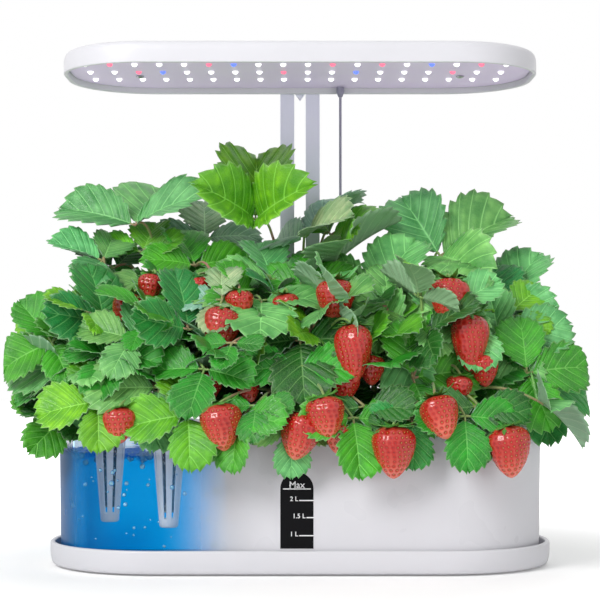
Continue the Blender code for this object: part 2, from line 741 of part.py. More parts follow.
def dc_inlet(finish):
    """The low-voltage inlet in the housing's back: a barrel, its flange and its centre pin."""
    outside = HOUSING_BACK + SEAT_GAP
    inside = outside - JACK_LENGTH
    inlet = as_object("dc_inlet", inlet_bar(JACK_RADIUS, inside, outside + JACK_FLANGE_THICKNESS), finish)
    flange = inlet_bar(JACK_FLANGE_RADIUS, outside, outside + JACK_FLANGE_THICKNESS)
    join(inlet, flange)
    bore_end = inside + JACK_FLANGE_THICKNESS
    cut(inlet, inlet_bar(JACK_BORE_RADIUS, bore_end, outside + JACK_FLANGE_THICKNESS + OVERRUN))
    return join(inlet, inlet_bar(JACK_PIN_RADIUS, bore_end - OVERRUN / 2, outside))


def buttons(finish):
    """Two round push buttons held under the housing's top by their flanges."""
    _, top = housing_levels()
    ceiling = top - HOUSING_WALL - SEAT_GAP
    flange_low = ceiling - BUTTON_FLANGE_THICKNESS
    for name, x in button_places().items():
        profile = [
            (BUTTON_RADIUS, flange_low - BUTTON_STROKE),
            (BUTTON_RADIUS, flange_low),
            (BUTTON_RADIUS + BUTTON_FLANGE, flange_low),
            (BUTTON_RADIUS + BUTTON_FLANGE, ceiling),
            (BUTTON_RADIUS, ceiling),
            (BUTTON_RADIUS, top + BUTTON_RISE * 0.7),
            (BUTTON_RADIUS * 0.88, top + BUTTON_RISE),
        ]
        place = Vector((x, BUTTON_Y, 0.0))
        as_object(name, moved(turned(profile), place), finish, (x, BUTTON_Y, top))


def control_board(finish):
    """The board under the buttons, with one switch for each of them."""
    _, top = housing_levels()
    low = DECK_TOP + SEAT_GAP
    inner_depth = HOUSING_DEPTH - 2 * HOUSING_WALL - 4 * SEAT_GAP
    length = TIMER_BUTTON_X - POWER_BUTTON_X + 2 * (BUTTON_RADIUS + BUTTON_FLANGE)
    centre_x = (TIMER_BUTTON_X + POWER_BUTTON_X) / 2
    plate = block((length, inner_depth, BOARD_THICKNESS), (centre_x, BUTTON_Y, low + BOARD_THICKNESS / 2))
    board = as_object("control_board", plate, finish, smooth=False)
    button_end = top - HOUSING_WALL - SEAT_GAP - BUTTON_FLANGE_THICKNESS - BUTTON_STROKE
    switch_top = button_end - BUTTON_STROKE - RUNNING_GAP
    height = switch_top - low - BOARD_THICKNESS / 2
    size = (SWITCH_SIZE, SWITCH_SIZE, height)
    places = button_places().values()
    return join(board, *[block(size, (x, BUTTON_Y, switch_top - height / 2)) for x in places])


# Mast


def rail_places():
    """The two rails' centres by name."""
    half = (RAIL_SPACE + RAIL_WIDTH) / 2
    return {"mast_rail_left": -half, "mast_rail_right": half}


def mast_sleeve(finish):
    """The twin sleeve that stands on the deck and guides the rails."""
    bottom = DECK_TOP + SEAT_GAP
    size = (SLEEVE_LENGTH, SLEEVE_DEPTH, SLEEVE_HEIGHT)
    body = block(size, (0.0, RAIL_Y, bottom + SLEEVE_HEIGHT / 2), SLEEVE_CORNER)
    sleeve = as_object("mast_sleeve", body, finish)
    pockets = []
    for x in rail_places().values():
        pocket_low = bottom + SLEEVE_FLOOR
        pocket_height = SLEEVE_TOP + OVERRUN - pocket_low
        size = (RAIL_WIDTH + 2 * RUNNING_GAP, RAIL_THICKNESS + 2 * RUNNING_GAP, pocket_height)
        pockets.append(block(size, (x, RAIL_Y, pocket_low + pocket_height / 2)))
    return cut(sleeve, *pockets)


def mast_rails(finish):
    """The two flat rails that carry the lamp."""
    height = RAIL_TOP - RAIL_BOTTOM
    for name, x in rail_places().items():
        place = (x, RAIL_Y, RAIL_BOTTOM + height / 2)
        as_object(name, block((RAIL_WIDTH, RAIL_THICKNESS, height), place), finish, place)


def lamp_bracket(finish):
    """A back plate behind the rails, with a web between them and a pointed tab below."""
    rail_back = RAIL_Y + RAIL_THICKNESS / 2 + SEAT_GAP
    height = BRACKET_TOP - BRACKET_BOTTOM
    middle_z = (BRACKET_TOP + BRACKET_BOTTOM) / 2
    plate = block(
        (BRACKET_LENGTH, BRACKET_PLATE, height),
        (0.0, rail_back + BRACKET_PLATE / 2, middle_z),
    )
    bracket = as_object("lamp_bracket", plate, finish)
    web_front = LAMP_Y + LAMP_DEPTH / 2 + SEAT_GAP
    web_back = rail_back + BRACKET_PLATE / 2
    web_width = RAIL_SPACE - 2 * SEAT_GAP
    half = web_width / 2
    shape = [(-half, BRACKET_TOP), (-half, BRACKET_BOTTOM), (0.0, BRACKET_TAB_TIP),
             (half, BRACKET_BOTTOM), (half, BRACKET_TOP)]
    web = loft([[Vector((x, y, z)) for x, z in shape] for y in (web_front, web_back)])
    return join(bracket, web)


# Lamp


def screw_places():
    """The two panel screws' centres by name."""
    y = LAMP_Y + LAMP_SCREW_Y
    return {
        "lamp_screw_left": Vector((-LAMP_SCREW_X, y, 0.0)),
        "lamp_screw_right": Vector((LAMP_SCREW_X, y, 0.0)),
    }


def lamp_cover(finish):
    """The lamp's moulded cover, open below, with a ledge and bosses for the board."""
    ledge = LAMP_WALL + LAMP_LEDGE
    ceiling = LAMP_TOP - LAMP_ROOF
    lip = LAMP_WALL * 0.28
    profile = [
        (ledge + LAMP_ROOF, ceiling),
        (ledge, ceiling - LAMP_ROOF / 2),
        (ledge, LAMP_LEDGE_Z),
        (LAMP_WALL, LAMP_LEDGE_Z),
        (LAMP_WALL, LAMP_BOTTOM + lip),
        (LAMP_WALL - lip, LAMP_BOTTOM),
        (lip, LAMP_BOTTOM),
        (0.0, LAMP_BOTTOM + lip),
        (0.0, LAMP_TOP - LAMP_TOP_ROUND),
        (LAMP_TOP_ROUND * 0.13, LAMP_TOP - LAMP_TOP_ROUND / 2),
        (LAMP_TOP_ROUND * 0.50, LAMP_TOP - LAMP_TOP_ROUND * 0.13),
        (LAMP_TOP_ROUND, LAMP_TOP),
    ]
    shell = moved(stack(LAMP_LENGTH, LAMP_DEPTH, LAMP_CORNER, profile), (0.0, LAMP_Y, 0.0))
    cover = as_object("lamp_cover", shell, finish)
    bosses, bores = [], []
    for place in screw_places().values():
        boss = turned([(LAMP_BOSS_RADIUS, LAMP_LEDGE_Z), (LAMP_BOSS_RADIUS, ceiling + LAMP_ROOF / 2)], 8)
        bosses.append(moved(boss, place))
        radius = LAMP_SCREW_RADIUS + SEAT_GAP
        bore = turned([(radius, LAMP_LEDGE_Z - OVERRUN), (radius, ceiling)], 8)
        bores.append(moved(bore, place))
    join(cover, *bosses)
    return cut(cover, *bores)


def led_places():
    """The centres of all the light-emitting diodes."""
    places = []
    for column in range(LED_COLUMNS):
        for row in range(LED_ROWS):
            x = (column - (LED_COLUMNS - 1) / 2) * LED_COLUMN_PITCH
            y = LAMP_Y + (row - (LED_ROWS - 1) / 2) * LED_ROW_PITCH
            places.append((x, y))
    return places


def led_board(finish):
    """The grey board that closes the lamp from below, with its diodes in three rows."""
    inset = LAMP_WALL + LED_BOARD_CLEARANCE
    profile = [(inset, LED_BOARD_Z), (inset, LED_BOARD_Z + LED_BOARD_THICKNESS)]
    plate = moved(stack(LAMP_LENGTH, LAMP_DEPTH, LAMP_CORNER, profile), (0.0, LAMP_Y, 0.0))
    board = as_object("led_board", plate, finish)
    low, high = LED_BOARD_Z - OVERRUN, LED_BOARD_Z + LED_BOARD_THICKNESS + OVERRUN
    holes = []
    for place in screw_places().values():
        radius = LAMP_SCREW_RADIUS + SEAT_GAP
        holes.append(moved(turned([(radius, low), (radius, high)], 8), place))
    radius = GLAND_STEM_RADIUS + SEAT_GAP
    holes.append(moved(turned([(radius, low), (radius, high)], 8), (CORD_X, CORD_Y, 0.0)))
    cut(board, *holes)
    height = LED_HEIGHT + LED_BOARD_THICKNESS / 4
    middle = LED_BOARD_Z - LED_HEIGHT + height / 2
    size = (LED_SIZE, LED_SIZE, height)
    return join(board, *[block(size, (x, y, middle)) for x, y in led_places()])


def lamp_screws(finish):
    """The screws that hold the board to the cover's bosses."""
    head_top = LED_BOARD_Z - SEAT_GAP
    head_low = head_top - LAMP_SCREW_HEAD
    profile = [
        (LAMP_SCREW_HEAD_RADIUS * 0.6, head_low),
        (LAMP_SCREW_HEAD_RADIUS, head_low + LAMP_SCREW_HEAD * 0.6),
        (LAMP_SCREW_HEAD_RADIUS, head_top),
        (LAMP_SCREW_RADIUS, head_top),
        (LAMP_SCREW_RADIUS, head_top + LAMP_SCREW_LENGTH),
    ]
    for name, place in screw_places().items():
        as_object(name, moved(turned(profile, 8), place), finish, (place.x, place.y, head_top))


def lamp_gland(finish):
    """The tapered strain relief that holds the cord in the board."""
    base = LED_BOARD_Z - SEAT_GAP
    profile = [
        (GLAND_TIP_RADIUS, GLAND_TIP_Z),
        (GLAND_BASE_RADIUS, base - (base - GLAND_TIP_Z) / 2),
        (GLAND_BASE_RADIUS, base),
        (GLAND_STEM_RADIUS, base),
        (GLAND_STEM_RADIUS, base + SEAT_GAP + LED_BOARD_THICKNESS),
    ]
    place = (CORD_X, CORD_Y, 0.0)
    as_object("lamp_gland", moved(turned(profile, 8), place), finish, (CORD_X, CORD_Y, base))


def cord_grommet(finish):
    """The grommet in the housing's top where the cord goes in."""
    _, top = housing_levels()
    low = top + SEAT_GAP
    profile = [
        (GROMMET_STEM_RADIUS, top - 2 * HOUSING_WALL),
        (GROMMET_STEM_RADIUS, low),
        (GROMMET_RADIUS, low),
        (GROMMET_RADIUS, low + GROMMET_HEIGHT * 0.6),
        (GROMMET_RADIUS * 0.8, low + GROMMET_HEIGHT),
    ]
    place = (CORD_X, CORD_Y, 0.0)
    as_object("cord_grommet", moved(turned(profile, 8), place), finish, (CORD_X, CORD_Y, low))


def lamp_cord(finish):
    """The thin cord that drops straight from the lamp to the housing."""
    _, top = housing_levels()
    low = top + 2 * SEAT_GAP + GROMMET_HEIGHT
    high = GLAND_TIP_Z - SEAT_GAP
    curve = bpy.data.curves.new("lamp_cord", "CURVE")
    curve.dimensions = "3D"
    curve.bevel_depth = CORD_RADIUS
    curve.bevel_resolution = 2
    curve.use_fill_caps = True
    spline = curve.splines.new("POLY")
    spline.points.add(CORD_POINTS - 1)
    for k, point in enumerate(spline.points):
        z = low + (high - low) * k / (CORD_POINTS - 1)
        point.co = (CORD_X, CORD_Y, z, 1.0)
    curve.materials.append(finish)
    cord = bpy.data.objects.new("lamp_cord", curve)
    bpy.context.collection.objects.link(cord)


# Pump


def pump_axis():
    """The point on the impeller's axis at the pump's front face."""
    return Vector((PUMP_X, PUMP_Y - PUMP_DEPTH / 2, PUMP_BOTTOM + PUMP_HEIGHT / 2))


def pump_bar(radius, near, far, steps=ROUND_STEPS):
    """A round bar on the impeller's axis, between two depths behind the pump's front face."""
    bar = turned([(radius, near), (radius, far)], steps)
    return moved(bar, pump_axis(), Matrix.Rotation(-math.pi / 2, 4, "X"))


def pump_body(finish):
    """The pump's housing with the volute in its front and the outlet on top."""
    middle = (PUMP_X, PUMP_Y, PUMP_BOTTOM + PUMP_HEIGHT / 2)
    body = as_object("pump_body", block((PUMP_WIDTH, PUMP_DEPTH, PUMP_HEIGHT), middle, PUMP_CORNER), finish)
    volute = pump_bar(VOLUTE_RADIUS, -OVERRUN, VOLUTE_DEPTH)
    shaft_bore = pump_bar(IMPELLER_SHAFT_RADIUS + RUNNING_GAP, 0.0, VOLUTE_DEPTH + IMPELLER_SHAFT_REACH, 8)
    return cut(body, volute, shaft_bore)


def pump_cover(finish):
    """The slotted inlet cover on the pump's front."""
    front = PUMP_Y - PUMP_DEPTH / 2 - SEAT_GAP - PUMP_COVER
    middle = (PUMP_X, front + PUMP_COVER / 2, PUMP_BOTTOM + PUMP_HEIGHT / 2)
    cover = as_object("pump_cover", block((PUMP_WIDTH, PUMP_COVER, PUMP_HEIGHT), middle), finish)
    pitch = 2 * VOLUTE_RADIUS / COVER_SLITS
    slits = []
    for k in range(COVER_SLITS):
        x = middle[0] + (k - (COVER_SLITS - 1) / 2) * pitch
        reach = math.sqrt(VOLUTE_RADIUS**2 - (x - middle[0]) ** 2)
        size = (COVER_SLIT_WIDTH, PUMP_COVER + 2 * OVERRUN, 2 * reach * 0.8)
        slits.append(block(size, (x, middle[1], middle[2])))
    return cut(cover, *slits)


def impeller(finish):
    """The bladed wheel and its shaft."""
    near = IMPELLER_BLADE
    far = VOLUTE_DEPTH - IMPELLER_BLADE
    wheel = as_object("impeller", pump_bar(IMPELLER_HUB_RADIUS, near, far, 10), finish)
    shaft = pump_bar(IMPELLER_SHAFT_RADIUS, far - OVERRUN, VOLUTE_DEPTH + IMPELLER_SHAFT_REACH * 0.9, 8)
    blades = [shaft]
    centre = pump_axis() + Vector((0.0, (near + far) / 2, 0.0))
    for k in range(IMPELLER_BLADES):
        inner = IMPELLER_HUB_RADIUS * 0.6
        length = IMPELLER_RADIUS - inner
        depth = (far - near) * 0.86
        blade = block((length, depth, IMPELLER_BLADE), (inner + length / 2, 0.0, 0.0))
        turn = Matrix.Rotation(2 * math.pi * k / IMPELLER_BLADES, 4, "Y")
        blades.append(moved(blade, centre, turn))
    join(wheel, *blades)
    wheel.data.transform(Matrix.Translation(-pump_axis()))
    wheel.location = pump_axis()


def pump_riser(finish):
    """The tube from the pump's outlet up to the flange under the deck."""
    low = PUMP_BOTTOM + PUMP_HEIGHT + SEAT_GAP
    high = DECK_BOTTOM - SEAT_GAP
    profile = [
        (RISER_RADIUS, low),
        (RISER_RADIUS, high - RISER_FLANGE_THICKNESS),
        (RISER_FLANGE_RADIUS, high - RISER_FLANGE_THICKNESS),
        (RISER_FLANGE_RADIUS, high),
    ]
    riser = as_object("pump_riser", moved(turned(profile, 8), (PUMP_X, PUMP_Y, 0.0)), finish)
    bore = turned([(RISER_BORE_RADIUS, low - OVERRUN), (RISER_BORE_RADIUS, high + OVERRUN)], 8)
    return cut(riser, moved(bore, (PUMP_X, PUMP_Y, 0.0)))


# Strawberry plants

# Each leaf: its pod, the share of the canopy's reach at which its three leaflets meet (x, y, z),
# the heading, pitch, roll and cupping of its middle leaflet in degrees, and its size share
LEAF_PLACES_SHARES = [
    (8, (-0.59, 0.29, 0.71), (-100, 10, 0, 38), 1.20),
    (8, (-0.53, 0.24, 0.61), (-80, 35, 0, 20), 0.60),
    (8, (-0.345, 0.48, 0.68), (100, 45, 0, 5), 0.75),
    (9, (-0.16, 0.33, 0.74), (95, 75, 0, 25), 1.10),
    (9, (-0.01, 0.29, 0.645), (50, 40, 0, 10), 1.00),
    (9, (0.09, 0.38, 0.68), (5, 25, 20, 10), 0.70),
    (10, (0.52, 0.29, 0.59), (-85, 0, 0, 40), 1.15),
    (10, (0.44, -0.19, 0.425), (20, 35, 20, 5), 0.70),
    (4, (-0.69, 0.05, 0.56), (190, 15, 25, 10), 0.65),
    (4, (-0.74, -0.43, 0.18), (185, 5, -50, 5), 0.95),
    (4, (-0.78, -0.10, 0.29), (165, 28, -40, 5), 0.95),
    (4, (-0.88, 0.14, 0.20), (185, 5, -20, 5), 0.50),
    (4, (-0.68, -0.38, 0.36), (125, 68, 10, 5), 0.85),
    (5, (-0.46, 0.0, 0.485), (-90, 0, 0, 14), 0.95),
    (5, (-0.13, -0.33, 0.42), (-90, -3, 0, 14), 1.00),
    (5, (-0.37, 0.14, 0.55), (120, 50, 0, 10), 0.75),
    (5, (-0.10, 0.05, 0.50), (110, 50, 0, 10), 0.75),
    (5, (-0.26, -0.48, 0.42), (175, 2, -30, 5), 0.60),
    (6, (0.125, 0.19, 0.58), (15, 38, -15, 10), 1.05),
    (6, (0.29, -0.10, 0.42), (30, 58, 30, 10), 1.00),
    (6, (0.02, 0.0, 0.48), (75, 50, 0, 10), 0.70),
    (6, (0.30, -0.33, 0.42), (178, 5, -40, 5), 0.75),
    (7, (0.70, 0.14, 0.43), (20, 50, 30, 10), 0.95),
    (7, (0.69, -0.05, 0.42), (178, 8, -40, 5), 0.85),
    (7, (0.72, -0.14, 0.375), (25, 42, 40, 5), 0.55),
    (7, (0.69, -0.24, 0.27), (-5, 22, 60, 10), 0.90),
    (7, (0.76, -0.43, 0.17), (5, 8, 70, 8), 0.95),
    (7, (0.81, -0.19, 0.12), (0, -2, 40, 5), 0.85),
    (1, (-0.655, -0.76, 0.08), (200, -18, -42, 5), 0.85),
    (1, (-0.36, -0.86, 0.03), (195, -18, -40, 5), 0.85),
    (1, (-0.46, -0.71, 0.12), (190, 0, -55, 5), 0.85),
    (1, (-0.37, -0.57, 0.32), (125, 70, 10, 5), 0.85),
    (1, (-0.52, -0.59, 0.335), (-110, -30, 0, 5), 0.42),
    (1, (-0.61, -0.62, 0.245), (-100, -35, 0, 5), 0.70),
    (1, (-0.31, -0.76, 0.19), (-100, -35, 0, 5), 0.70),
    (2, (0.0, -0.59, 0.285), (-75, -25, 5, 8), 1.00),
    (2, (-0.01, -0.71, 0.22), (-90, -65, 0, 10), 0.75),
    (2, (-0.22, -0.80, 0.275), (-110, -30, 0, 5), 0.42),
    (2, (-0.14, -0.91, 0.06), (-100, -40, 0, 5), 0.50),
    (2, (0.21, -0.78, 0.07), (-90, -50, 10, 5), 0.66),
    (2, (0.17, -0.86, 0.035), (-60, -60, 0, 5), 0.75),
    (2, (-0.03, -0.84, 0.0), (-80, -72, 0, 5), 0.60),
    (2, (-0.19, -0.88, 0.03), (-120, -50, 10, 5), 0.70),
    (3, (0.37, -0.62, 0.16), (5, 8, 70, 8), 0.90),
    (3, (0.31, -0.43, 0.27), (-5, 22, 60, 10), 0.90),
    (3, (0.59, -0.48, 0.345), (180, -5, -60, 5), 0.70),
    (3, (0.58, -0.78, 0.07), (-90, -55, 0, 5), 0.66),
    (3, (0.54, -0.84, 0.03), (-125, -58, 0, 5), 0.70),
    (3, (0.36, -0.82, 0.03), (-85, -70, 0, 5), 0.60),
    (3, (0.70, -0.84, 0.06), (-25, -30, 30, 5), 0.85),
    (8, (-0.62, 0.62, 0.36), (135, 20, 0, 10), 1.00),
    (9, (-0.25, 0.66, 0.42), (110, 25, 0, 10), 0.90),
    (10, (0.30, 0.64, 0.44), (70, 20, 0, 10), 0.90),
    (10, (0.62, 0.60, 0.34), (45, 20, 0, 10), 1.00),
]

# Each berry: its pod, its centre as shares of the canopy's reach, its radius as a share of the
# crown's radius, and how much longer than round it is
BERRY_PLACES_SHARES = [
    (1, (-0.58, -0.43, 0.38), 1.34, 1.0),
    (1, (-0.507, -0.33, 0.46), 1.05, 1.0),
    (5, (-0.345, -0.33, 0.45), 1.05, 1.0),
    (5, (-0.264, -0.59, 0.32), 1.52, 1.0),
    (5, (-0.20, -0.43, 0.40), 1.15, 1.0),
    (2, (-0.045, -0.38, 0.39), 1.11, 1.0),
    (1, (-0.61, -0.52, 0.185), 1.05, 1.0),
    (1, (-0.30, -0.62, 0.13), 1.05, 1.0),
    (2, (-0.167, -0.69, 0.125), 0.94, 1.0),
    (1, (-0.58, -0.86, 0.01), 1.23, 1.0),
    (2, (-0.25, -0.95, 0.005), 1.61, 1.0),
    (2, (0.0, -0.90, -0.025), 1.61, 1.0),
    (6, (0.117, -0.48, 0.415), 1.56, 1.0),
    (2, (0.176, -0.71, 0.24), 1.49, 1.35),
    (6, (0.235, -0.59, 0.185), 1.05, 1.0),
    (2, (0.144, -0.69, 0.13), 1.11, 1.0),
    (2, (0.083, -1.00, 0.035), 1.49, 1.0),
    (2, (0.12, -0.88, -0.03), 1.05, 1.0),
    (3, (0.297, -0.92, -0.075), 1.69, 1.05),
    (3, (0.50, -0.48, 0.415), 1.61, 1.0),
    (3, (0.56, -0.59, 0.275), 1.52, 1.3),
    (7, (0.61, -0.57, 0.185), 1.15, 1.0),
    (3, (0.52, -0.65, 0.12), 1.05, 1.0),
    (3, (0.45, -0.92, 0.035), 1.49, 1.0),
    (7, (0.67, -0.86, -0.075), 1.69, 1.05),
]

# Rings of stem roots on a crown, as shares of its radius, with how many stand on each, and one
# root in the middle
STEM_RING_SHARES = [(0.0, 1), (0.36, 5), (0.72, 10)]

# A leaflet's width along its length, and a berry's radius along its height, as shares
LEAFLET_WIDTH_SHARES = [(0.42, 1.0), (0.80, 0.64)]
LEAFLET_SPREAD = 82
LEAFLET_SIDE_SHARE = 0.90
LEAFLET_DROOP_SHARE = 0.16
BERRY_RADIUS_SHARES = [(0.0, 0.28), (0.24, 0.74), (0.64, 1.0), (0.92, 0.66)]
BERRY_STEPS = 5
STEM_RUNS = 3


def canopy_point(shares):
    """A point of the foliage from its shares of the canopy's reach."""
    x, y, z = shares
    return Vector((x * CANOPY_HALF_LENGTH, y * CANOPY_HALF_DEPTH, DECK_TOP + z * CANOPY_RISE))


def leaf_frame(angles):
    """Heading, sideways and upward directions of a leaf from its angles in degrees."""
    azimuth, pitch, roll = (math.radians(a) for a in angles[:3])
    level = math.cos(pitch)
    heading = Vector((level * math.cos(azimuth), level * math.sin(azimuth), math.sin(pitch)))
    side = Vector((math.sin(azimuth), -math.cos(azimuth), 0.0))
    up = side.cross(heading).normalized()
    turn = Matrix.Rotation(roll, 3, heading)
    return heading, turn @ side, turn @ up


def arched(root, end, bow):
    """Points of a stem that leaves the crown upright and bends over to its end."""
    start = root + Vector((0.0, 0.0, STEM_UPRIGHT))
    knee = start.lerp(end, STEM_KNEE_SHARE) + 2 * bow
    knee.z = max(end.z, start.z) + STEM_ARCH + bow.z
    points = [root]
    for k in range(STEM_RUNS):
        t = k / STEM_RUNS
        points.append((1 - t) ** 2 * start + 2 * t * (1 - t) * knee + t**2 * end)
    points.append(end)
    return points


def tube_rings(points, last_axes, radius, corners):
    """Rings along the points, turned as little as they can be from the last ring's axes."""
    count = len(points)
    rings = []
    side, up = last_axes
    along = up.cross(side)
    for k in reversed(range(count - 1)):
        ahead = (points[k + 1] - points[max(k - 1, 0)]).normalized()
        turn = along.rotation_difference(ahead)
        side, up, along = turn @ side, turn @ up, ahead
        rings.append([points[k] + radius * (c * side + s * up) for c, s in corners])
    return list(reversed(rings))


def skin(mesh, low, high):
    """Faces between two rings of the same count, which gives the second ring's vertices."""
    made = [mesh.verts.new(point) for point in high]
    count = len(low)
    for k in range(count):
        n = (k + 1) % count
        mesh.faces.new((low[k], low[n], made[n], made[k]))
    return made


def grow_leaflet(mesh, base, joint, heading, across, up, length, thickness):
    """Draws one leaflet out of the four vertices of its base, up to its tip."""
    half_width = length * LEAFLET_WIDTH_SHARE / 2
    row = base
    for share, width_share in LEAFLET_WIDTH_SHARES:
        droop = length * LEAFLET_DROOP_SHARE * share**2
        middle = joint + heading * (length * share) - up * droop
        reach = across * half_width * width_share
        thick = up * thickness / 2
        left, right = middle - reach, middle + reach
        row = skin(mesh, row, (left - thick, left + thick, right + thick, right - thick))
    tip = mesh.verts.new(joint + heading * length - up * (length * LEAFLET_DROOP_SHARE))
    for k in range(4):
        mesh.faces.new((row[k], row[(k + 1) % 4], tip))


def leaf_mesh(root, joint, angles, size, bow, grow=0.0):
    """A whole leaf: its stem, the joint and three leaflets, in one skin that is open at the root."""
    heading, side, up = leaf_frame(angles)
    cup = math.radians(angles[3])
    radius = STEM_RADIUS + grow
    thickness = LEAF_THICKNESS + 2 * grow
    length = size * LEAFLET_LENGTH
    back = joint - heading * JOINT_LENGTH / 2
    front = joint + heading * JOINT_LENGTH / 2
    reach, thick = side * radius, up * thickness / 2
    corners = [(-1, -1), (-1, 1), (1, 1), (1, -1)]
    points = arched(root, back, bow)
    mesh = bmesh.new()
    rings = tube_rings(points, (side, up), radius, corners)
    row = [mesh.verts.new(point) for point in rings[0]]
    for ring in rings[1:]:
        row = skin(mesh, row, ring)
    row = skin(mesh, row, [back + c * reach + s * thick for c, s in corners])
    ends = [mesh.verts.new(front + c * reach + s * thick) for c, s in corners]
    mesh.faces.new((row[1], row[2], ends[2], ends[1]))
    mesh.faces.new((row[3], row[0], ends[0], ends[3]))
    grow_leaflet(mesh, ends, front, heading, side, up, length, thickness)
    spread = math.radians(LEAFLET_SPREAD)
    for hand, base in ((-1, (row[0], row[1], ends[1], ends[0])), (1, (row[3], row[2], ends[2], ends[3]))):
        outward = math.cos(spread) * heading + hand * math.sin(spread) * side
        lifted = math.cos(cup) * outward + math.sin(cup) * up
        normal = math.cos(cup) * up - math.sin(cup) * outward
        across = math.sin(spread) * heading - hand * math.cos(spread) * side
        start = joint + hand * reach
        grow_leaflet(mesh, base, start, lifted, across, normal, length * LEAFLET_SIDE_SHARE, thickness)
    return mesh


def berry_mesh(root, centre, radius, stretch, bow, grow=0.0):
    """A berry that hangs tip down on its stem, in one skin that is open at the root."""
    length = radius * BERRY_LENGTH_SHARE * stretch
    turns = [2 * math.pi * k / BERRY_STEPS for k in range(BERRY_STEPS)]
    corners = [(math.cos(a), math.sin(a)) for a in turns]
    across, away, down = Vector((1.0, 0.0, 0.0)), Vector((0.0, 1.0, 0.0)), Vector((0.0, 0.0, -1.0))
    top = centre - down * (length / 2 + STEM_ARCH / 4)
    points = arched(root, top, bow)
    rings = tube_rings(points, (across, away), BERRY_STEM_RADIUS + grow, corners)
    rings.append([top + (BERRY_STEM_RADIUS + grow) * (c * across + s * away) for c, s in corners])
    for height, share in reversed(BERRY_RADIUS_SHARES):
        middle = centre + down * (length / 2 - length * height)
        rings.append([middle + (radius * share + grow) * (c * across + s * away) for c, s in corners])
    mesh = bmesh.new()
    row = [mesh.verts.new(point) for point in rings[0]]
    for ring in rings[1:]:
        row = skin(mesh, row, ring)
    mesh.faces.new(row)
    return mesh


def tree_of(mesh):
    """A search tree over the faces of a mesh."""
    mesh.verts.index_update()
    points = [vertex.co.copy() for vertex in mesh.verts]
    faces = [[vertex.index for vertex in face.verts] for face in mesh.faces]
    return BVHTree.FromPolygons(points, faces)


def hardware_trees():
    """Search trees of what the plants have to stay clear of, with the lid's path."""
    trees = []
    graph = bpy.context.evaluated_depsgraph_get()
    for made in bpy.data.objects:
        solid = bmesh.new()
        solid.from_mesh(bpy.data.meshes.new_from_object(made.evaluated_get(graph)))
        solid.transform(made.matrix_world)
        trees.append(tree_of(solid))
        solid.free()
    sweep_size = (PORT_SIZE + 4 * LID_OVERLAP, LID_SWEEP, LID_SWEEP)
    sweep = block(sweep_size, (PORT_X, PORT_Y + LID_OVERLAP, DECK_TOP + LID_SWEEP / 2))
    trees.append(tree_of(sweep))
    sweep.free()
    return trees


def stem_spots():
    """Places on a crown's flat top where stems come out, round its middle."""
    spots = []
    for share, count in STEM_RING_SHARES:
        for k in range(count):
            angle = 2 * math.pi * k / count
            spots.append(CROWN_RADIUS * share * Vector((math.cos(angle), math.sin(angle), 0.0)))
    return spots


def settled(build, trees, chance):
    """Bends a leaf or berry by small steps until it clears all that is there already."""
    for attempt in range(NUDGE_TRIES):
        effort = attempt / NUDGE_TRIES
        reach = NUDGE * math.sqrt(effort)
        smaller = 1.0 - (1.0 - LEAST_SIZE_SHARE) * effort**2
        shift = Vector([chance.uniform(-reach, reach) for _ in range(3)])
        shift.y *= DEPTH_NUDGE_SHARE
        bow = Vector([chance.uniform(-reach, reach) for _ in range(3)])
        turn = [chance.uniform(-1, 1) * TURN_STEP * reach / NUDGE for _ in range(3)]
        trial = build(shift, turn, bow, smaller, PLANT_CLEARANCE)
        tree = tree_of(trial)
        own = [pair for pair in tree.overlap(tree) if not adjacent(trial, pair)]
        outside = any(vertex.co.y < -CANOPY_FRONT for vertex in trial.verts)
        trial.free()
        if own or outside or any(tree.overlap(other) for other in trees):
            continue
        return build(shift, turn, bow, smaller, 0.0), tree
    return None


def adjacent(mesh, pair):
    """Whether two faces are the same one or share a corner."""
    mesh.faces.ensure_lookup_table()
    first, second = (set(mesh.faces[index].verts) for index in pair)
    return bool(first & second)


def crown_mesh(place):
    """The low round stock of a plant, open on its flat top."""
    low = DECK_TOP + 2 * SEAT_GAP
    rim = [point + place.to_2d() for point in circle(CROWN_RADIUS, 8)]
    rings = [raised(rim, low), raised(rim, low + CROWN_HEIGHT)]
    mesh = bmesh.new()
    row = [mesh.verts.new(point) for point in rings[0]]
    mesh.faces.new(list(reversed(row)))
    skin(mesh, row, rings[1])
    return mesh


def fill_top(plant, centre):
    """Closes the flat ring between a crown's rim and the roots of its stems."""
    rims = [edge for edge in plant.edges if len(edge.link_faces) == 1]
    corners = list(dict.fromkeys(vertex for edge in rims for vertex in edge.verts))
    number = {vertex: k for k, vertex in enumerate(corners)}
    flat = [((vertex.co - centre) / CROWN_RADIUS).to_2d() for vertex in corners]
    pairs = [tuple(number[vertex] for vertex in edge.verts) for edge in rims]
    loops = rim_loops(corners, rims)
    loop_of = {vertex: k for k, loop in enumerate(loops) for vertex in loop}
    found = delaunay_2d_cdt(flat, pairs, [], 0, 1e-6)
    for triangle in found[2]:
        made = [corners[found[3][n][0]] for n in triangle]
        if len({loop_of[vertex] for vertex in made}) > 1:
            plant.faces.new(made)


def rim_loops(corners, rims):
    """The open rims as loops of vertices in order."""
    beside = {vertex: [] for vertex in corners}
    for edge in rims:
        first, second = edge.verts
        beside[first].append(second)
        beside[second].append(first)
    loops, seen = [], set()
    for start in corners:
        if start in seen:
            continue
        loop, here, before = [], start, None
        while here not in seen:
            seen.add(here)
            loop.append(here)
            ahead = [vertex for vertex in beside[here] if vertex is not before]
            before, here = here, ahead[0]
        loops.append(loop)
    return loops


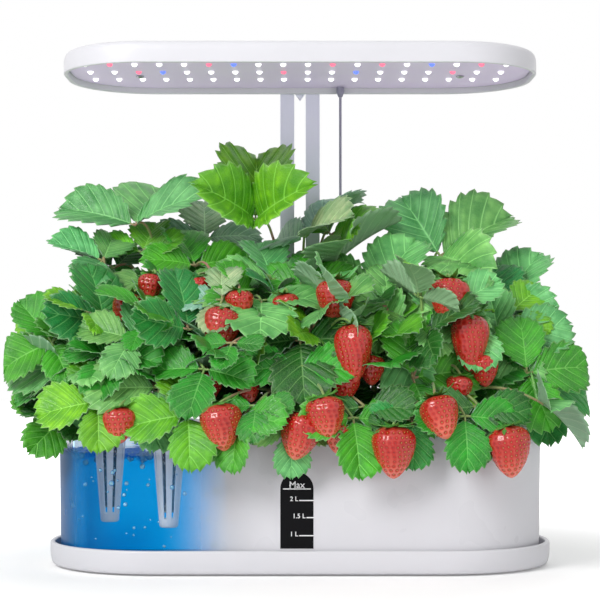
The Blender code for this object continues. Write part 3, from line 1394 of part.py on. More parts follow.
def plant_object(name, place, stems, finish):
    """Closes a crown's top round the roots of its stems, which makes one closed body."""
    plant = crown_mesh(place)
    for stem in stems:
        data = bpy.data.meshes.new("stem")
        stem.to_mesh(data)
        stem.free()
        plant.from_mesh(data)
        bpy.data.meshes.remove(data)
    fill_top(plant, place)
    bmesh.ops.recalc_face_normals(plant, faces=plant.faces)
    as_object(name, plant, finish, place + Vector((0.0, 0.0, DECK_TOP)), smooth=False)


def plants(finish):
    """The ten plants, each one closed body of crown, stems, leaves and berries."""
    chance = random.Random(7)
    trees = hardware_trees()
    top = DECK_TOP + 2 * SEAT_GAP + CROWN_HEIGHT
    places = pod_places()
    free_spots = {pod: stem_spots() for pod in range(1, len(places) + 1)}
    grown = {pod: [] for pod in free_spots}
    crown_trees = {}
    for pod in free_spots:
        crown = crown_mesh(places[pod - 1])
        crown_trees[pod] = tree_of(crown)
        crown.free()
    berries = sorted(BERRY_PLACES_SHARES, key=lambda row: row[1][1])
    leaves = sorted(LEAF_PLACES_SHARES, key=lambda row: -row[3])
    jobs = [(berry_mesh, *row) for row in berries[:FRONT_BERRIES]]
    jobs += [(leaf_mesh, *row) for row in leaves]
    jobs += [(berry_mesh, *row) for row in berries[FRONT_BERRIES:]]
    for make, pod, shares, shape, size in jobs:
        centre = places[pod - 1]
        target = canopy_point(shares)
        toward = Vector((target.x - centre.x, target.y - centre.y, 0.0))
        wish = toward.normalized() * min(toward.length, CROWN_RADIUS)
        spot = min(free_spots[pod], key=lambda s: (s - wish).length)
        root = centre + spot + Vector((0.0, 0.0, top))

        def build(shift, turn, bow, smaller, grow):
            if make is berry_mesh:
                return berry_mesh(root, target + shift, shape * smaller * CROWN_RADIUS, size, bow, grow)
            angles = [a + b for a, b in zip(shape, turn)] + [shape[3]]
            return leaf_mesh(root, target + shift, angles, size * smaller, bow, grow)

        others = trees + [tree for other, tree in crown_trees.items() if other != pod]
        found = settled(build, others, chance)
        if found:
            stem, tree = found
            free_spots[pod].remove(spot)
            trees.append(tree)
            grown[pod].append(stem)
    for pod, stems in grown.items():
        plant_object(f"plant_{pod}", places[pod - 1], stems, finish)


def main():
    """Builds every piece of the garden."""
    clear_scene()
    finish = all_materials()
    base_tray(finish["white_plastic"])
    pads(finish["rubber"])
    tank(finish["white_plastic"])
    level_window(finish["black_plastic"])
    deck(finish["white_plastic"])
    fill_lid(finish["white_plastic"])
    fill_lid_pin(finish["steel"])
    baskets(finish["clear_plastic"])
    growing_medium(finish["soil"])
    control_housing(finish["white_plastic"])
    buttons(finish["white_plastic"])
    control_board(finish["circuit_board"])
    dc_inlet(finish["black_plastic"])
    mast_sleeve(finish["white_plastic"])
    mast_rails(finish["satin_aluminium"])
    lamp_bracket(finish["satin_aluminium"])
    lamp_cover(finish["white_plastic"])
    led_board(finish["grey_panel"])
    lamp_screws(finish["steel"])
    lamp_gland(finish["cord"])
    cord_grommet(finish["rubber"])
    lamp_cord(finish["cord"])
    pump_body(finish["black_plastic"])
    pump_cover(finish["black_plastic"])
    impeller(finish["black_plastic"])
    pump_riser(finish["clear_plastic"])
    plants(finish["plant"])


main()
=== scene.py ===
"""Countertop hydroponic garden: its finishes, water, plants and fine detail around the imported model.

Lengths are in metres. The garden stands on z = 0 with its front facing -Y, as the model does.
"""

import json
import math
import random

import bmesh
import bpy
import numpy as np
from mathutils import Matrix, Vector

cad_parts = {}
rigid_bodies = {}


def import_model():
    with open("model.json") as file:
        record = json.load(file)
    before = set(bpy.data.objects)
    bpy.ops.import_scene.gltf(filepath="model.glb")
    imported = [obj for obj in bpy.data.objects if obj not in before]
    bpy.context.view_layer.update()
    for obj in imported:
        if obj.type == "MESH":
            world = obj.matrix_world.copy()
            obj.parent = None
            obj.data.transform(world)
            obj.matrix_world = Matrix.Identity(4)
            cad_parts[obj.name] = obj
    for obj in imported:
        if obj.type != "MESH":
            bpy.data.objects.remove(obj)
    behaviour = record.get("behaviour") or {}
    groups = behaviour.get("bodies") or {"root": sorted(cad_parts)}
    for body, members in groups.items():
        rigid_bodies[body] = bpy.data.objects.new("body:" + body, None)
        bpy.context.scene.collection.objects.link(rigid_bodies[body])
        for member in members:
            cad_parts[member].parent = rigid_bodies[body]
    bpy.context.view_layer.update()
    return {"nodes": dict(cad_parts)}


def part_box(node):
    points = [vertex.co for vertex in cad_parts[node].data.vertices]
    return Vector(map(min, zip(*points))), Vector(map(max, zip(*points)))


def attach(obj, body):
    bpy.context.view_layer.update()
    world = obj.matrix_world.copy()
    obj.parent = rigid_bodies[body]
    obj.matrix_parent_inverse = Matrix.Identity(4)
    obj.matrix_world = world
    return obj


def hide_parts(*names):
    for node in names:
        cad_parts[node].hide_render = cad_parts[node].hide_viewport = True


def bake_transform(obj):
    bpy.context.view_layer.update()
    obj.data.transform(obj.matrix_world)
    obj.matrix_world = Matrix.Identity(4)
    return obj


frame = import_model()

# Camera
#
# The garden is seen from in front and a little above its tank, with a long lens.

CAMERA_PLACE = (0.0, -1.184, 0.1432)
CAMERA_PITCH_UP = 1.65
CAMERA_LENS_MM = 100.0
CAMERA_SENSOR_MM = 36.0

camera_data = bpy.data.cameras.new("camera")
camera_data.lens = CAMERA_LENS_MM
camera_data.sensor_width = CAMERA_SENSOR_MM
camera = bpy.data.objects.new("camera", camera_data)
camera.location = CAMERA_PLACE
camera.rotation_euler = (math.radians(90 + CAMERA_PITCH_UP), 0.0, 0.0)
bpy.context.collection.objects.link(camera)
bpy.context.scene.camera = camera
bpy.context.scene.view_settings.view_transform = "Standard"

# Studio
#
# A white floor and surroundings, a large soft lamp high on the left in front, and weaker ones on
# the right, above and behind that leave no highlights of their own.

FLOOR_HALF = 4.0
FLOOR_DROP = 0.0004
FLOOR_LIFT = 0.19
FLOOR_SHADE_REACH = (0.17, 0.60)
FLOOR_WHITE = 0.93
FLOOR_ROUGHNESS = 0.9
SURROUNDINGS = 0.31
LAMPS_AIM = (0.0, 0.0, 0.17)
PLAIN_WHITE = (1.0, 1.0, 1.0, 1.0)
# Each lamp: its place, its side length, its power in watts and whether it shows as a highlight
LAMPS = [
    ((-1.00, -1.35, 1.20), 0.8, 28.0, True),
    ((1.05, -1.35, 0.22), 1.0, 8.5, False),
    ((0.20, 0.15, 1.60), 0.9, 3.0, False),
    ((0.30, 1.20, 0.80), 0.9, 5.0, False),
]


def surface_of(name):
    """A new material with its node tree and main shader."""
    made = bpy.data.materials.new(name)
    made.use_nodes = True
    return made, made.node_tree, made.node_tree.nodes["Principled BSDF"]


def node(tree, kind, inputs=(), **settings):
    """A shader node with its settings, and its inputs set or linked by name or number."""
    made = tree.nodes.new("ShaderNode" + kind)
    for key, value in settings.items():
        setattr(made, key, value)
    for key, value in dict(inputs).items():
        if isinstance(value, bpy.types.NodeSocket):
            tree.links.new(value, made.inputs[key])
        else:
            made.inputs[key].default_value = value
    return made


def maths(tree, operation, *values):
    """One step of arithmetic on numbers, each of them a socket or a plain one."""
    return node(tree, "Math", dict(enumerate(values)), operation=operation).outputs[0]


def set_plain(shader, values):
    """Sets a shader's plain numbers and colours by name."""
    for key, value in values.items():
        shader.inputs[key].default_value = value


def between(tree, value, low, high, start=0.0, end=1.0):
    """A value that passes smoothly from start to end as the input goes from low to high."""
    made = node(tree, "MapRange", {"Value": value, "From Min": low, "From Max": high, "To Min": start,
                                   "To Max": end}, interpolation_type="SMOOTHSTEP")
    return made.outputs["Result"]


def studio_world():
    """Even white light, and plain white behind and reflected in the garden."""
    world = bpy.data.worlds.new("studio")
    world.use_nodes = True
    tree = world.node_tree
    light = tree.nodes["Background"]
    set_plain(light, {"Strength": SURROUNDINGS, "Color": PLAIN_WHITE})
    white = node(tree, "Background", {"Strength": 1.0, "Color": PLAIN_WHITE})
    path = node(tree, "LightPath")
    seen = maths(tree, "MAXIMUM", path.outputs["Is Camera Ray"], path.outputs["Is Glossy Ray"])
    seen = maths(tree, "MAXIMUM", seen, path.outputs["Is Transmission Ray"])
    mix = node(tree, "MixShader", {"Fac": seen, 1: light.outputs[0], 2: white.outputs[0]})
    tree.links.new(mix.outputs[0], tree.nodes["World Output"].inputs["Surface"])
    return world


bpy.context.scene.world = studio_world()
for place, side, power, shows in LAMPS:
    lamp_data = bpy.data.lights.new("studio_lamp", "AREA")
    lamp_data.size = side
    lamp_data.energy = power
    lamp = bpy.data.objects.new("studio_lamp", lamp_data)
    lamp.visible_glossy = shows
    lamp.location = place
    lamp.rotation_euler = (Vector(LAMPS_AIM) - Vector(place)).to_track_quat("-Z", "Y").to_euler()
    bpy.context.collection.objects.link(lamp)

floor_mesh = bpy.data.meshes.new("floor")
floor_turns = ((-1, -1), (1, -1), (1, 1), (-1, 1))
floor_corners = [(sx * FLOOR_HALF, sy * FLOOR_HALF, -FLOOR_DROP) for sx, sy in floor_turns]
floor_mesh.from_pydata(floor_corners, [], [(0, 1, 2, 3)])
floor = bpy.data.objects.new("floor", floor_mesh)
bpy.context.collection.objects.link(floor)


def floor_white():
    """White floor that keeps the garden's shadow and fades to plain white further out."""
    made, tree, shader = surface_of("floor_white")
    set_plain(shader, {
        "Base Color": (FLOOR_WHITE, FLOOR_WHITE, FLOOR_WHITE, 1.0),
        "Roughness": FLOOR_ROUGHNESS,
        "Emission Color": PLAIN_WHITE,
    })
    place = node(tree, "TexCoord").outputs["Object"]
    away = node(tree, "VectorMath", {0: place}, operation="LENGTH").outputs["Value"]
    fade = between(tree, away, *FLOOR_SHADE_REACH, FLOOR_LIFT, 1.0)
    seen = maths(tree, "MULTIPLY", fade, node(tree, "LightPath").outputs["Is Camera Ray"])
    tree.links.new(seen, shader.inputs["Emission Strength"])
    return made


floor_mesh.materials.append(floor_white())

# Base tray
#
# A shallow oval tray of glossy white plastic, moulded in one piece, with a rounded rim that the
# tank drops into. Four round pads are let into its underside.

TRAY_LENGTH = 0.344
TRAY_DEPTH = 0.161
TRAY_CORNER = 0.0775
TRAY_HEIGHT = 0.0163
TRAY_FLOOR = 0.0027
TRAY_LIP = 0.0034
PAD_RADIUS = 0.0083
PAD_POCKET = 0.0013
PAD_OFFSET = (0.118, 0.042)
PAD_PLACES = [(sx * PAD_OFFSET[0], sy * PAD_OFFSET[1]) for sx in (-1, 1) for sy in (-1, 1)]
QUARTER_STEPS = 18
WHITE = (0.680, 0.676, 0.712)
MILLIMETRES = 1000.0


def vectors(tree, operation, *values):
    """One step of arithmetic on vectors or colours."""
    return node(tree, "VectorMath", dict(enumerate(values)), operation=operation).outputs[0]


def in_millimetres(tree):
    """Object coordinates in millimetres."""
    place = node(tree, "TexCoord").outputs["Object"]
    return node(tree, "VectorMath", {0: place, "Scale": MILLIMETRES}, operation="SCALE").outputs[0]


def noise(tree, place, scale, detail=2.0, distortion=0.0):
    """Soft random variation, its scale counted per millimetre."""
    inputs = {"Vector": place, "Scale": scale, "Detail": detail, "Distortion": distortion}
    return node(tree, "TexNoise", inputs).outputs["Fac"]


def bumped(tree, height, strength, distance, invert=False):
    """Fine relief on the main shader's surface, as deep as the distance."""
    inputs = {"Height": height, "Strength": strength, "Distance": distance}
    bump = node(tree, "Bump", inputs, invert=invert)
    tree.links.new(bump.outputs["Normal"], tree.nodes["Principled BSDF"].inputs["Normal"])


def blended(tree, share, first, second):
    """A colour between two others, each of them a socket or a plain colour."""
    mix = node(tree, "Mix", data_type="RGBA")
    for key, value in (("Factor", share), (6, first), (7, second)):
        if isinstance(value, bpy.types.NodeSocket):
            tree.links.new(value, mix.inputs[key])
        elif key == "Factor":
            mix.inputs[key].default_value = value
        else:
            mix.inputs[key].default_value = (*value, 1.0)
    return mix.outputs[2]


def moulded_plastic(name, colour, roughness, grain=0.35, grain_mm=0.6):
    """Moulded plastic with a fine orange-peel surface and slightly uneven gloss and tone."""
    made, tree, shader = surface_of(name)
    place = in_millimetres(tree)
    peel = noise(tree, place, 1 / grain_mm, 3.0)
    haze = noise(tree, place, 0.03, 2.0)
    darker = tuple(c * 0.975 for c in colour)
    tree.links.new(blended(tree, haze, darker, colour), shader.inputs["Base Color"])
    gloss = between(tree, haze, 0.3, 0.7, roughness * 0.85, roughness * 1.2)
    tree.links.new(gloss, shader.inputs["Roughness"])
    bumped(tree, peel, grain * 0.1, 0.0002)
    shader.inputs["Specular IOR Level"].default_value = 0.5
    return made


def oval(length, depth, corner, inset=0.0):
    """Points of a long rounded outline, counter-clockwise, drawn in by the inset."""
    half_x, half_y = length / 2 - inset, depth / 2 - inset
    radius = min(max(corner - inset, corner / 8), half_x, half_y)
    points = []
    for quarter, (sx, sy) in enumerate(((1, 1), (-1, 1), (-1, -1), (1, -1))):
        for step in range(QUARTER_STEPS + 1):
            angle = math.pi / 2 * (quarter + step / QUARTER_STEPS)
            x = sx * (half_x - radius) + radius * math.cos(angle)
            points.append((x, sy * (half_y - radius) + radius * math.sin(angle)))
    return points


def softened(profile, steps=4):
    """A profile of (inset, height, rounding) with each corner drawn as a small curve."""
    path = []
    for k, (inset, height, rounding) in enumerate(profile):
        here = Vector((inset, height))
        if not rounding or k in (0, len(profile) - 1):
            path.append(here)
            continue
        before, after = Vector(profile[k - 1][:2]), Vector(profile[k + 1][:2])
        start = here + (before - here).normalized() * min(rounding, (before - here).length * 0.49)
        end = here + (after - here).normalized() * min(rounding, (after - here).length * 0.49)
        for step in range(steps + 1):
            t = step / steps
            path.append((1 - t) ** 2 * start + 2 * t * (1 - t) * here + t**2 * end)
    return path


def piece(name, mesh_or_points, faces=None, finishes=(), smooth_angle=40.0):
    """An object at the origin from a bmesh, or from points and faces, with its finishes."""
    data = bpy.data.meshes.new(name)
    if faces is None:
        bmesh.ops.recalc_face_normals(mesh_or_points, faces=mesh_or_points.faces)
        mesh_or_points.to_mesh(data)
        mesh_or_points.free()
    else:
        data.from_pydata([tuple(p) for p in mesh_or_points], [], faces)
    for finish in finishes:
        data.materials.append(finish)
    if smooth_angle:
        data.shade_smooth()
        data.set_sharp_from_angle(angle=math.radians(smooth_angle))
    made = bpy.data.objects.new(name, data)
    bpy.context.collection.objects.link(made)
    return made


def skinned(rings, closed=True):
    """A bmesh through rings of points, with a flat cap at each end, or joined end to end."""
    mesh = bmesh.new()
    rows = [[mesh.verts.new(point) for point in ring] for ring in rings]
    pairs = list(zip(rows, rows[1:]))
    if not closed:
        pairs.append((rows[-1], rows[0]))
    for low, high in pairs:
        for k in range(len(low)):
            n = (k + 1) % len(low)
            mesh.faces.new((low[k], low[n], high[n], high[k]))
    if closed:
        mesh.faces.new(list(reversed(rows[0])))
        mesh.faces.new(rows[-1])
    return mesh


def oval_stack(length, depth, corner, profile, steps=4):
    """A closed bmesh whose oval outline follows a softened profile."""
    path = softened(profile, steps)
    return skinned([[(x, y, p.y) for x, y in oval(length, depth, corner, p.x)] for p in path])


def ring_at(x, y, z, radius, steps, start=0.0):
    """Points of a level circle, the first of them a share of a step round."""
    angles = [2 * math.pi * (k + start) / steps for k in range(steps)]
    return [(x + radius * math.cos(a), y + radius * math.sin(a), z) for a in angles]


def disc_cutter(radius, low, high, x, y, steps=24):
    """A round upright cutter."""
    return skinned([ring_at(x, y, z, radius, steps) for z in (low, high)])


def as_evaluated(target):
    """A plain mesh of an object as its modifiers leave it."""
    bpy.context.view_layer.update()
    graph = bpy.context.evaluated_depsgraph_get()
    return bpy.data.meshes.new_from_object(target.evaluated_get(graph))


def carved(target, cutters):
    """Cuts closed bmeshes out of a piece, and leaves a plain mesh."""
    helpers = bpy.data.collections.new("cutters")
    for cutter in cutters:
        helpers.objects.link(piece("cutter", cutter, smooth_angle=0))
    step = target.modifiers.new("carve", "BOOLEAN")
    step.solver = "EXACT"
    step.operand_type = "COLLECTION"
    step.collection = helpers
    result = as_evaluated(target)
    target.modifiers.remove(step)
    target.data = result
    result.set_sharp_from_angle(angle=math.radians(40.0))
    for helper in list(helpers.objects):
        bpy.data.objects.remove(helper)
    bpy.data.collections.remove(helpers)
    return target


white_plastic = moulded_plastic("white_plastic", WHITE, 0.34)
tray_profile = [
    (0.0085, 0.0, 0.0),
    (0.0015, 0.0012, 0.0020),
    (0.0, 0.0075, 0.0040),
    (0.0, TRAY_HEIGHT, 0.0014),
    (TRAY_LIP, TRAY_HEIGHT, 0.0014),
    (TRAY_LIP, TRAY_FLOOR, 0.0018),
    (TRAY_LIP + 0.004, TRAY_FLOOR, 0.0),
]
tray = piece("tray", oval_stack(TRAY_LENGTH, TRAY_DEPTH, TRAY_CORNER, tray_profile),
             finishes=[white_plastic])
carved(tray, [disc_cutter(PAD_RADIUS, -0.001, PAD_POCKET, x, y) for x, y in PAD_PLACES])
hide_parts("base_tray")
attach(tray, "base")



def finished(finish, *names):
    """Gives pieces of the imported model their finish."""
    for name in names:
        slots = frame["nodes"][name].data.materials
        slots.clear()
        slots.append(finish)


pad_rubber = moulded_plastic("pad_rubber", (0.035, 0.035, 0.036), 0.75, 1.5, 0.35)
finished(pad_rubber, *[f"grip_pad_{number}" for number in range(1, 5)])

# Water tank
#
# An oval tank moulded from clear plastic that is white over most of its length and turns clear
# towards its left end. Round that end it is painted deep blue: the water's blue, darkened with
# painted shade where the end turns away from the light. Its wall leans out a little.

TANK_LENGTH = 0.3314
TANK_DEPTH = 0.154
TANK_CORNER = 0.0715
TANK_WALL = 0.0024
TANK_BOTTOM = 0.0030
TANK_INNER_FLOOR = 0.0056
TANK_TOP = 0.0927
TANK_LEAN = 0.0014
CLEAR_UNTIL_MM = -94.0
WHITE_FROM_MM = -18.0
WATER_LEVEL = 0.0785
CLEAR_ALPHA = 0.03
# The curving left end is painted dark blue as shade, fading out between these two places along the tank
SHADED_END_UNTIL_MM = -161.0
UNSHADED_FROM_MM = -136.0
SHADED_END_BLUE = (0.018, 0.110, 0.290)
CLEAR_BLUE = (0.000, 0.370, 0.860)


def tank_plastic():
    """White plastic that turns clear towards the left end, where it is painted dark blue: the water's blue
    in painted shade.
    """
    made = moulded_plastic("tank_plastic", WHITE, 0.30)
    tree = made.node_tree
    shader = tree.nodes["Principled BSDF"]
    parts = node(tree, "SeparateXYZ", {0: in_millimetres(tree)})
    along = parts.outputs["X"]
    dry = between(tree, parts.outputs["Z"], WATER_LEVEL * 1000 - 4, WATER_LEVEL * 1000 + 5, 1.0, 0.25)
    white = shader.inputs["Base Color"].links[0].from_socket
    # Painted shade: a mask over the curving left end, which is painted dark blue and made nearly opaque
    # below the water
    shaded_end = between(tree, along, SHADED_END_UNTIL_MM, UNSHADED_FROM_MM, 1.0, 0.0)
    blue = maths(tree, "MULTIPLY", shaded_end, dry)
    body = between(tree, along, CLEAR_UNTIL_MM, WHITE_FROM_MM, CLEAR_ALPHA, 1.0)
    clearer = blended(tree, between(tree, along, CLEAR_UNTIL_MM, CLEAR_UNTIL_MM + 50), CLEAR_BLUE, white)
    tree.links.new(blended(tree, shaded_end, clearer, SHADED_END_BLUE), shader.inputs["Base Color"])
    shader.inputs["Specular IOR Level"].default_value = 0.3
    end = maths(tree, "MULTIPLY", blue, 0.90)
    tree.links.new(maths(tree, "MAXIMUM", body, end), shader.inputs["Alpha"])
    return made


tank_profile = [
    (TANK_LEAN + 0.004, TANK_BOTTOM, 0.0),
    (TANK_LEAN, TANK_BOTTOM, 0.0022),
    (0.0, TANK_TOP, 0.0008),
    (TANK_WALL, TANK_TOP, 0.0008),
    (TANK_LEAN + TANK_WALL, TANK_INNER_FLOOR, 0.0022),
    (TANK_LEAN + TANK_WALL + 0.004, TANK_INNER_FLOOR, 0.0),
]
tank = piece("tank_shell", oval_stack(TANK_LENGTH, TANK_DEPTH, TANK_CORNER, tank_profile),
             finishes=[tank_plastic()])
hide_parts("tank")
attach(tank, "tank")

# Level window
#
# A glossy black strip with an arched top and a thin white rim, let into the tank's front. Its
# marks give the litres from the right-hand edge.

WINDOW_X = -0.002
WINDOW_WIDTH = 0.0228
WINDOW_BOTTOM = 0.0168
WINDOW_TOP = 0.0677
WINDOW_RIM = 0.0006
WINDOW_DEPTH = 0.0009
STRIP_PROUD = 0.0001
MARK_RAISE = 0.00018
MARK_THICKNESS = 0.0007
# Each mark: its height, its line's share of the strip's width, its word and the word's height
MARKS = [
    (0.0562, 0.84, "Max", 0.0044),
    (0.0487, 0.43, "2 L", 0.0031),
    (0.0376, 0.21, "1.5 L", 0.0031),
    (0.0259, 0.43, "1 L", 0.0031),
]


def wall_y(z):
    """The tank's front face at a height."""
    return -(TANK_DEPTH / 2 - TANK_LEAN * (1 - (z - TANK_BOTTOM) / (TANK_TOP - TANK_BOTTOM)))


def arch_outline(inset, steps=24):
    """Points round the strip's arched outline, drawn in by the inset."""
    half = WINDOW_WIDTH / 2 - inset
    low, high = WINDOW_BOTTOM + inset, WINDOW_TOP - inset
    points = [(-half, low), (half, low)]
    for step in range(steps + 1):
        angle = math.pi * step / steps
        points.append((half * math.cos(angle), high - half + half * math.sin(angle)))
    return [(WINDOW_X + x, z) for x, z in points]


def window_ring(inset, proud):
    """The outline set just in front of the tank's wall, or behind it where proud is negative."""
    return [(x, wall_y(z) - proud, z) for x, z in arch_outline(inset)]


window_black = moulded_plastic("window_black", (0.003, 0.003, 0.004), 0.45, 0.2)
window_black.node_tree.nodes["Principled BSDF"].inputs["Specular IOR Level"].default_value = 0.12
window_rings = [window_ring(WINDOW_RIM, -WINDOW_DEPTH), window_ring(WINDOW_RIM, 0.00005),
                window_ring(WINDOW_RIM + 0.0003, 0.00012)]
window = piece("window_strip", skinned(window_rings), finishes=[window_black])
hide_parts("level_window")
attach(window, "tank")

rim_rings = [window_ring(0.0, -0.0003), window_ring(0.0, 0.0001), window_ring(0.0003, 0.00025),
             window_ring(WINDOW_RIM - 0.0002, 0.00025), window_ring(WINDOW_RIM, 0.0001),
             window_ring(WINDOW_RIM, -0.0003)]
rim = piece("window_rim", skinned(rim_rings, closed=False), finishes=[white_plastic])
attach(rim, "tank")

mark_paint = moulded_plastic("mark_paint", (0.86, 0.86, 0.88), 0.4)


def mark_bar(left, right, z):
    """One thin white line on the strip."""
    low, high = z - MARK_THICKNESS / 2, z + MARK_THICKNESS / 2
    mesh = bmesh.new()
    corners = [(left, low), (right, low), (right, high), (left, high)]
    depths = (STRIP_PROUD, MARK_RAISE + STRIP_PROUD)
    rows = [[mesh.verts.new((x, wall_y(h) - y, h)) for x, h in corners] for y in depths]
    for k in range(4):
        mesh.faces.new((rows[0][k], rows[0][(k + 1) % 4], rows[1][(k + 1) % 4], rows[1][k]))
    mesh.faces.new(rows[0])
    mesh.faces.new(rows[1])
    return mesh


def lettering(word, height, x, z, align):
    """A generic word or number that stands on the strip at a height, lined up at x."""
    text = bpy.data.curves.new("mark", "FONT")
    text.body = word
    text.size = height * 1.37
    text.offset = height * 0.012
    text.extrude = MARK_RAISE / 2
    text.resolution_u = 3
    text.align_x = align
    made = bpy.data.objects.new("mark", text)
    bpy.context.collection.objects.link(made)
    data = as_evaluated(made)
    bpy.data.objects.remove(made)
    data.transform(Matrix.Rotation(math.pi / 2, 4, "X"))
    data.transform(Matrix.Translation((x, wall_y(z) - STRIP_PROUD - MARK_RAISE / 2, z)))
    mesh = bmesh.new()
    mesh.from_mesh(data)
    bpy.data.meshes.remove(data)
    return mesh


marks = bmesh.new()
right_edge = WINDOW_X + WINDOW_WIDTH / 2 - WINDOW_RIM
for z, share, word, height in MARKS:
    reach = share * (WINDOW_WIDTH - 2 * WINDOW_RIM)
    if word == "Max":
        line = mark_bar(WINDOW_X - reach / 2, WINDOW_X + reach / 2, z)
        letters = lettering(word, height, WINDOW_X, z + MARK_THICKNESS, "CENTER")
    else:
        line = mark_bar(right_edge - reach, right_edge, z)
        left_end = right_edge - reach - MARK_THICKNESS
        letters = lettering(word, height, left_end, z - MARK_THICKNESS / 2, "RIGHT")
    for part in (line, letters):
        data = bpy.data.meshes.new("part")
        part.to_mesh(data)
        part.free()
        marks.from_mesh(data)
        bpy.data.meshes.remove(data)
mark_piece = piece("level_marks", marks, finishes=[mark_paint], smooth_angle=0)
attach(mark_piece, "tank")

# Water
#
# The water behind the tank's clear end. Its deeper half is strong blue with a painted glow, darkened
# by painted shade at its left end and dark along its rippled surface, with white froth on top. The
# half in front is clear, so the pods show in it.

WATER_GAP = 0.0004
WATER_RIGHT = -0.020
WATER_DIVIDE = 0.022
FROTH_TOP = 0.0862
WAVE_HEIGHT = 0.0016
# The dark blue at the water's left end is painted shade, where the tank's end turns away
END_SHADE_WATER_BLUE = (0.010, 0.130, 0.400)
ROYAL_BLUE = (0.000, 0.150, 0.560)
AZURE = (0.000, 0.345, 0.780)
PALE_BLUE = (0.300, 0.640, 0.880)
RIPPLE_BLUE = (0.002, 0.085, 0.370)
FROTH_WHITE = (0.70, 0.84, 0.92)
# Where each blue turns into the next, in millimetres along the tank, and where heights change
END_SHADE_WATER_MM = (-148.0, -112.0)
AZURE_MM = (-112.0, -70.0)
PALE_BLUE_MM = (-50.0, -20.0)
FLOOR_SHADE_MM = (6.0, 40.0)
RIPPLE_MM = (76.0, 82.0)
FROTH_MM = (87.0, 90.5)
WATER_SWAY_MM = 26.0
SWIRL_HEIGHT_MM = 20.0
# Strength of the water's painted glow
WATER_GLOW = 0.62


def water_colour(tree, place):
    """Blue that changes along the tank, with painted shade at its left end and near its floor, darkens
    under its rippled surface and turns to froth above.
    """
    parts = node(tree, "SeparateXYZ", {0: place})
    sway = noise(tree, place, 0.03, 2.0)
    across = maths(tree, "MULTIPLY_ADD", sway, WATER_SWAY_MM, parts.outputs["X"])
    low = between(tree, parts.outputs["Z"], *FLOOR_SHADE_MM, 0.70, 0.0)
    rich = blended(tree, low, AZURE, ROYAL_BLUE)
    # Painted shade: darker blue towards the left end
    deep = blended(tree, between(tree, across, *END_SHADE_WATER_MM), END_SHADE_WATER_BLUE, rich)
    still = blended(tree, between(tree, across, *AZURE_MM), deep, AZURE)
    pale = blended(tree, between(tree, across, *PALE_BLUE_MM), still, PALE_BLUE)
    stretched = vectors(tree, "MULTIPLY", place, (0.8, 0.8, 1.7))
    swirl = noise(tree, stretched, 0.07, 4.0, distortion=1.8)
    height = maths(tree, "MULTIPLY_ADD", swirl, SWIRL_HEIGHT_MM, parts.outputs["Z"])
    rippled = blended(tree, between(tree, height, *RIPPLE_MM), pale, RIPPLE_BLUE)
    return blended(tree, between(tree, height, *FROTH_MM), rippled, FROTH_WHITE)


def deep_water_finish():
    """Strong blue that nothing shows through, with a painted glow: it shines a little by itself."""
    made, tree, shader = surface_of("deep_water")
    colour = water_colour(tree, in_millimetres(tree))
    tree.links.new(colour, shader.inputs["Base Color"])
    # Painted glow: the water shines a little in its own colour, though it is no lamp
    tree.links.new(colour, shader.inputs["Emission Color"])
    set_plain(shader, {"Emission Strength": WATER_GLOW, "Roughness": 0.7, "Specular IOR Level": 0.1})
    return made


def near_water_finish():
    """Clear water with a faint blue cast that deepens towards its surface."""
    made, tree, shader = surface_of("near_water")
    parts = node(tree, "SeparateXYZ", {0: in_millimetres(tree)})
    top = WATER_LEVEL * 1000
    under = between(tree, parts.outputs["Z"], top - 7.0, top - 1.0)
    tree.links.new(blended(tree, under, AZURE, RIPPLE_BLUE), shader.inputs["Base Color"])
    tree.links.new(between(tree, under, 0.0, 1.0, 0.06, 0.16), shader.inputs["Alpha"])
    set_plain(shader, {"Roughness": 0.08, "Specular IOR Level": 0.3})
    return made


def finely(points, step):
    """The same closed outline with more points along its long sides."""
    made = []
    for (ax, ay), (bx, by) in zip(points, points[1:] + points[:1]):
        count = max(1, round(math.dist((ax, ay), (bx, by)) / step))
        made += [(ax + (bx - ax) * k / count, ay + (by - ay) * k / count) for k in range(count)]
    return made


def wave(x, y):
    """How far the water's surface stands above or below its level at a place."""
    ripple = math.sin(x * 95 + 1.3) + 0.6 * math.sin(x * 210 + y * 60) + 0.4 * math.sin(y * 130 + x * 40)
    return WAVE_HEIGHT * ripple / 2


def water_body(name, low_y, high_y, level, finish):
    """The water between two depths, inside the tank's clear end."""
    inside = oval(TANK_LENGTH, TANK_DEPTH, TANK_CORNER, TANK_WALL + TANK_LEAN + WATER_GAP)
    kept = [(min(x, WATER_RIGHT), min(max(y, low_y), high_y)) for x, y in finely(inside, 0.003)]
    line = [p for k, p in enumerate(kept) if math.dist(p, kept[k - 1]) > 0.0005]
    rings = [[(x, y, TANK_INNER_FLOOR + WATER_GAP) for x, y in line]]
    middle_x, middle_y = (sum(values) / len(line) for values in zip(*line))
    for share in (1.0, 0.92, 0.7, 0.4, 0.1):
        inner = [(middle_x + (x - middle_x) * share, middle_y + (y - middle_y) * share) for x, y in line]
        rings.append([(x, y, level + wave(x, y)) for x, y in inner])
    made = piece(name, skinned(rings), finishes=[finish])
    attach(made, "tank")
    return made


water_body("deep_water", WATER_DIVIDE, TANK_DEPTH, FROTH_TOP, deep_water_finish())
water_body("near_water", -TANK_DEPTH, WATER_DIVIDE - WATER_GAP, WATER_LEVEL, near_water_finish())

# Bubbles
#
# Round bubbles that cling to the inside of the clear wall and crowd under the water's surface.

# Painted light and painted shade of the bubbles: bright in their middles, dark round their rims
BUBBLE_PAINTED_LIGHT = (0.36, 0.76, 0.96)
BUBBLE_PAINTED_RIM_SHADE = (0.003, 0.170, 0.58)
BUBBLE_SEED = 5
BUBBLE_COUNT = 60
FOAM_COUNT = 70


